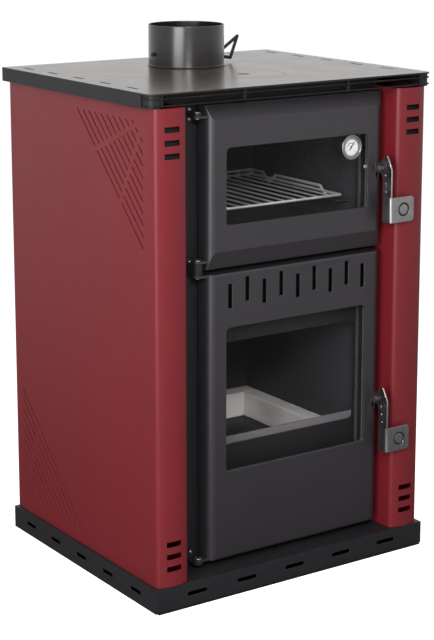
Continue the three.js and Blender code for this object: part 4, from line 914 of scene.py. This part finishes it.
class AddGlazing(StoveOperator):
    """Adds the glass panes, their seals and the braided door ropes."""

    bl_idname = "stove.add_glazing"
    bl_label = "Glass, seals and ropes"

    def execute(self, context):
        for prefix in ("oven_door", "fire_door"):
            dress(prefix + "_glass", prefix + "_pane", 0.5 * MM)
            dress(prefix + "_glass_seal", prefix + "_flat_seal", 0.5 * MM)
            rope = copy_of(prefix + "_rope", prefix + "_braided_rope")
            stand_in(soften(rope, sizes().rope_edge, 4, math.radians(50)), prefix + "_rope")
        low, high = Vector((163, -207.4, 690.5)) * MM, Vector((169.5, -205.3, 695.5)) * MM
        clip = soften(block("glass_clip", low, high), 0.7 * MM, 3)
        place_piece(clip, "oven_door", "zinc_steel")
        dress("thermometer_lens", "dial_lens", 0.3 * MM)
        return {"FINISHED"}


class AddHinges(StoveOperator):
    """Adds the hinge brackets and their pins."""

    bl_idname = "stove.add_hinges"
    bl_label = "Hinges"

    def execute(self, context):
        for level in ("top", "middle", "bottom"):
            dress("hinge_bracket_" + level, "hinge_strap_" + level, 0.4 * MM)
            dress("hinge_pin_" + level, "hinge_stud_" + level, 0.4 * MM)
        return {"FINISHED"}


class AddLatches(StoveOperator):
    """Adds the latch levers with dark rings of painted shade in them, their pins and the keepers."""

    bl_idname = "stove.add_latches"
    bl_label = "Latches"

    def execute(self, context):
        for prefix in ("oven", "fire"):
            lever = prefix + "_latch_lever"
            dress(lever, prefix + "_door_lever", 0.5 * MM, 3)
            self.add_ring(lever, prefix + "_lever_ring")
            dress(prefix + "_latch_pin", prefix + "_lever_pivot", 0.4 * MM)
            dress(prefix + "_latch_keeper", prefix + "_door_keeper", 0.4 * MM)
        return {"FINISHED"}

    def add_ring(self, lever, name):
        """Inlays a plain dark ring in the lever's plate: painted shade for the groove of a pressed
        mark.
        """
        low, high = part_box(lever)
        x, z = high.x - 22.5 * MM, low.z + 22 * MM
        outer, inner = 11.9 * MM, 9.1 * MM
        front, back = low.y + 0.05 * MM, low.y + 0.9 * MM
        ring = drum("ring", "y", outer, front, back, x, z)
        carve(ring, drum("eye", "y", inner, low.y - MM, low.y + 2 * MM, x, z))
        ring.name = ring.data.name = name
        place_piece(ring, BODY_OF[lever], "black_steel")


class AddThermometer(StoveOperator):
    """Adds the thermometer: cup, nut, printed dial, inner ring and needle."""

    bl_idname = "stove.add_thermometer"
    bl_label = "Thermometer"

    def execute(self, context):
        low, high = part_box("thermometer_cup")
        x, z = (low.x + high.x) / 2, (low.z + high.z) / 2
        radius, rim, depth = (high.x - low.x) / 2, 2.5 * MM, 6 * MM
        neck, stem, gap = 17 * MM, 4.5 * MM, 0.3 * MM
        face_low, face_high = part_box("thermometer_dial")
        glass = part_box("oven_door_glass")[0].y
        cup = drum("chrome_bezel", "y", radius, low.y, low.y + depth, x, z)
        weld(
            cup,
            drum("neck", "y", neck, low.y + depth - MM, glass - gap, x, z),
            drum("stem", "y", stem, glass - 2 * MM, high.y, x, z, 32),
        )
        carve(cup, drum("dish", "y", radius - rim, low.y - MM, face_high.y + gap, x, z))
        stand_in(soften(cup, 0.8 * MM, 4), "thermometer_cup")
        dress("thermometer_nut", "stem_nut", 0.4 * MM)
        dial_radius = (face_high.x - face_low.x) / 2
        dial = drum("dial_plate", "y", dial_radius, face_low.y, face_high.y, x, z)
        stand_in(soften(dial, 0.1 * MM), "thermometer_dial")
        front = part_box("thermometer_lens")[1].y + 0.2 * MM
        ring = drum("inner_bezel", "y", dial_radius, front, face_low.y - 0.1 * MM, x, z)
        carve(ring, drum("sight", "y", 13.9 * MM, low.y - MM, face_high.y, x, z))
        place_piece(soften(ring, 0.5 * MM, 3), BODY_OF["thermometer_dial"], "chrome")
        refinish(ring, metal("Satin ring", (0.42, 0.41, 0.41), 0.36))
        self.print_marks(x, face_low.y, z)
        dress("thermometer_needle", "dial_needle", 0.1 * MM)
        return {"FINISHED"}

    def print_marks(self, x, y, z):
        """Prints the ticks, the numbers and the dark band over the dial's upper half."""
        centre = Vector((x, y, z))
        front = y - sizes().print_rise
        start, sweep = math.radians(225), math.radians(270)
        outer, tick_count, tall_every = 13.5 * MM, 31, 5
        tall, short = (1.7 * MM, 0.2 * MM), (1.0 * MM, 0.12 * MM)
        marks = []
        for i in range(tick_count):
            reach, half = short if i % tall_every else tall
            tick = block("tick", (outer - reach, front - y, -half), (outer, 0, half))
            turn = Matrix.Rotation(-(start - sweep * i / (tick_count - 1)), 4, "Y")
            marks.append(copied_to(tick, "tick_%02d" % i, centre, turn))
            bpy.data.objects.remove(tick)
        numbers, number_radius = ("0", "100", "200", "300"), 10.2 * MM
        for i, number in enumerate(numbers):
            angle = start - sweep * i / (len(numbers) - 1)
            at = centre + Vector((math.cos(angle), 0, math.sin(angle))) * number_radius
            bpy.ops.object.text_add(location=(at.x, y, at.z), rotation=(math.pi / 2, 0, 0))
            text = bpy.context.object.data
            text.body = number
            text.size = 2.4 * MM
            text.align_x = text.align_y = "CENTER"
            text.extrude = sizes().print_rise
            text.resolution_u = 2
            bpy.ops.object.convert(target="MESH")
            marks.append(settled("number_" + number))
        band_start, band_sweep = math.radians(25), math.radians(150)
        inner, outer, half = 6.6 * MM, 7.7 * MM, 0.05 * MM
        strip = block("dial_band", (inner, front - y, -half), (outer, 0, half))
        band = copied_to(strip, "dial_band_print", centre, Matrix.Rotation(-band_start, 4, "Y"))
        bpy.data.objects.remove(strip)
        marks.append(self.swept(band, centre, band_sweep))
        place_piece(joined(marks), BODY_OF["thermometer_dial"], "needle").name = "dial_print"

    def swept(self, strip, centre, angle):
        """Spins the strip's end face round the dial's middle into a band."""
        side = max(strip.data.polygons, key=lambda f: f.normal.z * 2 - f.normal.x).index
        pick_faces(strip, lambda face: face.index == side)
        bpy.ops.mesh.spin(steps=36, angle=angle, center=centre, axis=(0, 1, 0))
        bpy.ops.mesh.select_all(action="SELECT")
        bpy.ops.mesh.remove_doubles(threshold=MM / 200)
        bpy.ops.mesh.normals_make_consistent(inside=False)
        leave_edit()
        return strip


class AddRack(StoveOperator):
    """Adds the oven rack: bent side rails, cross bars and wires."""

    bl_idname = "stove.add_rack"
    bl_label = "Oven rack"

    def execute(self, context):
        low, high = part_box("oven_rack")
        bar, wire, tip, run = 2.5 * MM, 1.5 * MM, 3 * MM, 20 * MM
        foot = low.z + bar
        plane, rail = foot + 8 * MM, foot + 16 * MM
        front, back = low.y + tip, high.y - tip
        left, right = low.x + bar, high.x - bar
        dips = (front + 38 * MM, back - 57 * MM)
        bars = []
        for x in (left, right):
            points = [
                (x, front, plane),
                (x, dips[0], foot),
                (x, dips[0] + run, rail),
                (x, dips[1] - run, rail),
                (x, dips[1], foot),
                (x, dips[1] + run, rail),
                (x, back, rail),
                (x, back, plane),
            ]
            bars.append(bent_rod("rail", points, bar, sizes().wire_bend))
            lower = [(x, front, plane), (x, back, plane)]
            bars.append(bent_rod("lower_rail", lower, bar, 0))
        for y, z in ((front, plane), (back, plane), (back, rail)):
            bars.append(bent_rod("cross_bar", [(left, y, z), (right, y, z)], bar, 0))
        count, inset = 11, 31.5 * MM
        first, last, level = low.x + inset, high.x - inset, plane + bar
        one = bent_rod("wire", [(0, low.y, level), (0, high.y, level)], wire, 0, 10)
        for i in range(count):
            x = first + (last - first) * i / (count - 1)
            bars.append(copied_to(one, "wire_%02d" % i, (x, 0, 0)))
        bpy.data.objects.remove(one)
        rack = joined(bars)
        rack.name = rack.data.name = "chromed_oven_rack"
        smooth(rack)
        # Bright plated wire; its part-diffuse white stands in for the chrome's reflections: painted
        # sheen.
        bright = metal("Bright wire with painted sheen", (0.9, 0.9, 0.9), 0.42, metallic=0.7)
        refinish(stand_in(rack, "oven_rack"), bright)
        return {"FINISHED"}


class AddScrews(StoveOperator):
    """Adds the cross-head screws of the hinges, keepers and rear flanges."""

    bl_idname = "stove.add_screws"
    bl_label = "Screws"

    def execute(self, context):
        head = self.screw_head()
        half_turn = Matrix.Rotation(math.pi, 4, "Z")
        for i, (at, facing) in enumerate(self.spots()):
            turn = Matrix.Identity(4) if facing > 0 else half_turn
            copy = copied_to(head, "screw_head_%02d" % i, at, turn)
            place_piece(copy, "stove", "zinc_steel")
        bpy.data.objects.remove(head)
        return {"FINISHED"}

    def screw_head(self):
        """A domed head with a cross cut into it, facing the front."""
        radius, rise = sizes().screw_radius, sizes().screw_rise
        head = drum("screw", "y", radius, -rise, 0, 0, 0, 24)
        round_edges(head, lambda a, b: max(a.y, b.y) < -rise * 0.9, rise * 0.7, 4)
        long, short = radius * 0.62, radius * 0.14
        for wide, tall in ((long, short), (short, long)):
            cross = block("cross", (-wide, -2 * rise, -tall), (wide, -0.45 * rise, tall))
            carve(head, cross)
        smooth(head)
        return head

    def spots(self):
        """The place of every screw, with 1 for those that face the front and -1 for the rear."""
        spots = []
        sheet, hinge_inset, middle_inset = 3 * MM, 5 * MM, 4.5 * MM
        for level in ("top", "middle", "bottom"):
            low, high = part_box("hinge_bracket_" + level)
            inset = middle_inset if level == "middle" else hinge_inset
            heights = (high.z - inset, low.z + inset)
            for z in heights[:1] if level == "bottom" else heights:
                spots.append((Vector(((low.x + high.x) / 2, high.y - sheet, z)), 1))
        for prefix in ("oven", "fire"):
            low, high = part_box(prefix + "_latch_keeper")
            for z in (low.z + middle_inset, high.z - middle_inset):
                spots.append((Vector((high.x - 4.2 * MM, high.y - sheet, z)), 1))
        low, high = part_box("side_panel_left")
        for side in (-1, 1):
            for share in (0.06, 0.35, 0.65, 0.94):
                z = low.z + share * (high.z - low.z)
                spots.append((Vector((side * (-low.x - 9 * MM), high.y, z)), -1))
        return spots


class AddStage(StoveOperator):
    """Adds the floor, the soft lamps, the white surroundings and the camera."""

    bl_idname = "stove.add_stage"
    bl_label = "Stage"

    lamps = (
        ("key", (-2.3, -1.45, 1.2), (0, 0, 0.6), (1.4, 2.3), 80),
        ("front", (-1.2, -2.4, 1.75), (0, 0, 0.85), (0.6, 0.6), 60),
        ("top", (0.3, 0.6, 2.9), (0, 0, 0.8), (2.0, 2.0), 18),
    )

    def execute(self, context):
        self.add_floor(context)
        self.add_world(context)
        for name, place, target, size, power in self.lamps:
            self.add_lamp(context, name, place, target, size, power)
        self.add_camera(context)
        context.scene.view_settings.view_transform = "Standard"
        return {"FINISHED"}

    def seen_directly(self, tree):
        """1 for rays from the camera, and for those that metal and glass send on."""
        path = tree.nodes.new("ShaderNodeLightPath")
        total = path.outputs["Is Camera Ray"]
        for name in ("Is Glossy Ray", "Is Transmission Ray"):
            node = tree.nodes.new("ShaderNodeMath")
            node.operation = "MAXIMUM"
            tree.links.new(total, node.inputs[0])
            tree.links.new(path.outputs[name], node.inputs[1])
            total = node.outputs["Value"]
        return total

    def add_floor(self, context):
        bpy.ops.mesh.primitive_plane_add(size=60, location=(0, 0, -0.0005))
        floor = settled("floor")
        finish = Finish("Pale floor")
        base = context.scene.stove_colours.floor
        grain = finish.between(finish.noise(3, 3), 0.3, 0.7)
        tone = finish.mixed(grain, shade(base, 0.99), shade(base, 1.01))
        shown = self.floor_shown(finish)
        seen = finish.sum_of(self.seen_directly(finish.tree), shown, "MULTIPLY")
        # Where the mask falls, the floor is painted near black and glows less: a painted shadow under
        # the plinth and painted shade near the stove in reflections.
        finish.set(
            Base_Color=finish.mixed(shown, (0.01, 0.01, 0.01), tone),
            Roughness=0.9,
            Specular_IOR_Level=0.1,
            Emission_Color=(1, 1, 1, 1),
            Emission_Strength=finish.between(seen, 0, 1, 0, 0.86),
        )
        floor.data.materials.append(finish.material)

    def outside_plinth(self, finish):
        """0 on the ground inside the plinth, 1 on the open floor: where the painted shadow under the
        stove ends.
        """
        axes = finish.add("ShaderNodeSeparateXYZ", {"Vector": finish.place})
        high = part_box("base_plinth")[1]
        clear = []
        for axis, edge in (("X", high.x), ("Y", high.y)):
            node = finish.add("ShaderNodeMath", {0: axes.outputs[axis]}, operation="ABSOLUTE")
            clear.append(finish.between(node.outputs["Value"], edge - 4 * MM, edge - 3 * MM))
        return finish.sum_of(*clear, "MAXIMUM")

    def floor_shown(self, finish):
        """1 on the open floor; painted shade: less near the stove for gloss and glass rays, and 0
        inside the plinth.
        """
        near, far, least = 0.6, 6.0, 0.05
        path = finish.add("ShaderNodeLightPath")
        sent_on = finish.sum_of(
            path.outputs["Is Glossy Ray"], path.outputs["Is Transmission Ray"], "MAXIMUM"
        )
        away = finish.add("ShaderNodeVectorMath", {0: finish.place}, operation="LENGTH")
        rise = finish.between(away.outputs["Value"], near, far, least, 1.0)
        shown = finish.sum_of(finish.between(sent_on, 0, 1, 1, 0), rise, "MAXIMUM")
        return finish.sum_of(shown, self.outside_plinth(finish), "MULTIPLY")

    def add_world(self, context):
        world = bpy.data.worlds.new("White studio")
        context.scene.world = world
        world.use_nodes = True
        tree = world.node_tree
        background = tree.nodes["Background"]
        background.inputs["Color"].default_value = (1, 1, 1, 1)
        level = tree.nodes.new("ShaderNodeMapRange")
        level.inputs["To Min"].default_value = 0.16
        level.inputs["To Max"].default_value = 1.0
        tree.links.new(self.seen_directly(tree), level.inputs["Value"])
        tree.links.new(level.outputs["Result"], background.inputs["Strength"])

    def add_lamp(self, context, name, place, target, size, power):
        light = bpy.data.lights.new(name, "AREA")
        light.shape = "RECTANGLE"
        light.size, light.size_y = size
        light.energy = power
        lamp = bpy.data.objects.new(name, light)
        context.scene.collection.objects.link(lamp)
        lamp.location = place
        aim = Vector(target) - lamp.location
        lamp.rotation_euler = aim.to_track_quat("-Z", "Y").to_euler()

    def add_camera(self, context):
        tilt, heading = math.radians(78.6), math.radians(-34.34)
        camera = bpy.data.cameras.new("Camera")
        camera.lens = 98.96
        camera.sensor_width = 36
        camera.shift_y = -0.14
        camera.clip_end = 100
        viewer = bpy.data.objects.new("Camera", camera)
        context.scene.collection.objects.link(viewer)
        viewer.location = (-1.713, -2.509, 1.179)
        viewer.rotation_euler = (tilt, 0, heading)
        context.scene.camera = viewer


PIECE_OPERATORS = (
    AddSheetwork, AddHearth, AddTop, AddLid, AddFlue, AddDoors, AddGlazing, AddHinges,
    AddLatches, AddThermometer, AddRack, AddScrews, AddStage,
)


class StovePanel(bpy.types.Panel):
    """Lists the stove's pieces, sizes and colours in the sidebar."""

    bl_idname = "VIEW3D_PT_stove_pieces"
    bl_label = "Oven Stove"
    bl_space_type = "VIEW_3D"
    bl_region_type = "UI"
    bl_category = "Stove"

    def draw(self, context):
        layout = self.layout
        for operator in PIECE_OPERATORS:
            layout.operator(operator.bl_idname)
        for group in (context.scene.stove_sizes, context.scene.stove_colours):
            box = layout.box()
            for name in group.__annotations__:
                box.prop(group, name)


CLASSES = (StoveSizes, StoveColours, *PIECE_OPERATORS, StovePanel)


def register():
    for item in CLASSES:
        bpy.utils.register_class(item)
    bpy.types.Scene.stove_sizes = bpy.props.PointerProperty(type=StoveSizes)
    bpy.types.Scene.stove_colours = bpy.props.PointerProperty(type=StoveColours)


def unregister():
    del bpy.types.Scene.stove_colours
    del bpy.types.Scene.stove_sizes
    for item in reversed(CLASSES):
        bpy.utils.unregister_class(item)


def main():
    register()
    for operator in PIECE_OPERATORS:
        group, name = operator.bl_idname.split(".")
        getattr(getattr(bpy.ops, group), name)()


if __name__ == "__main__":
    main()
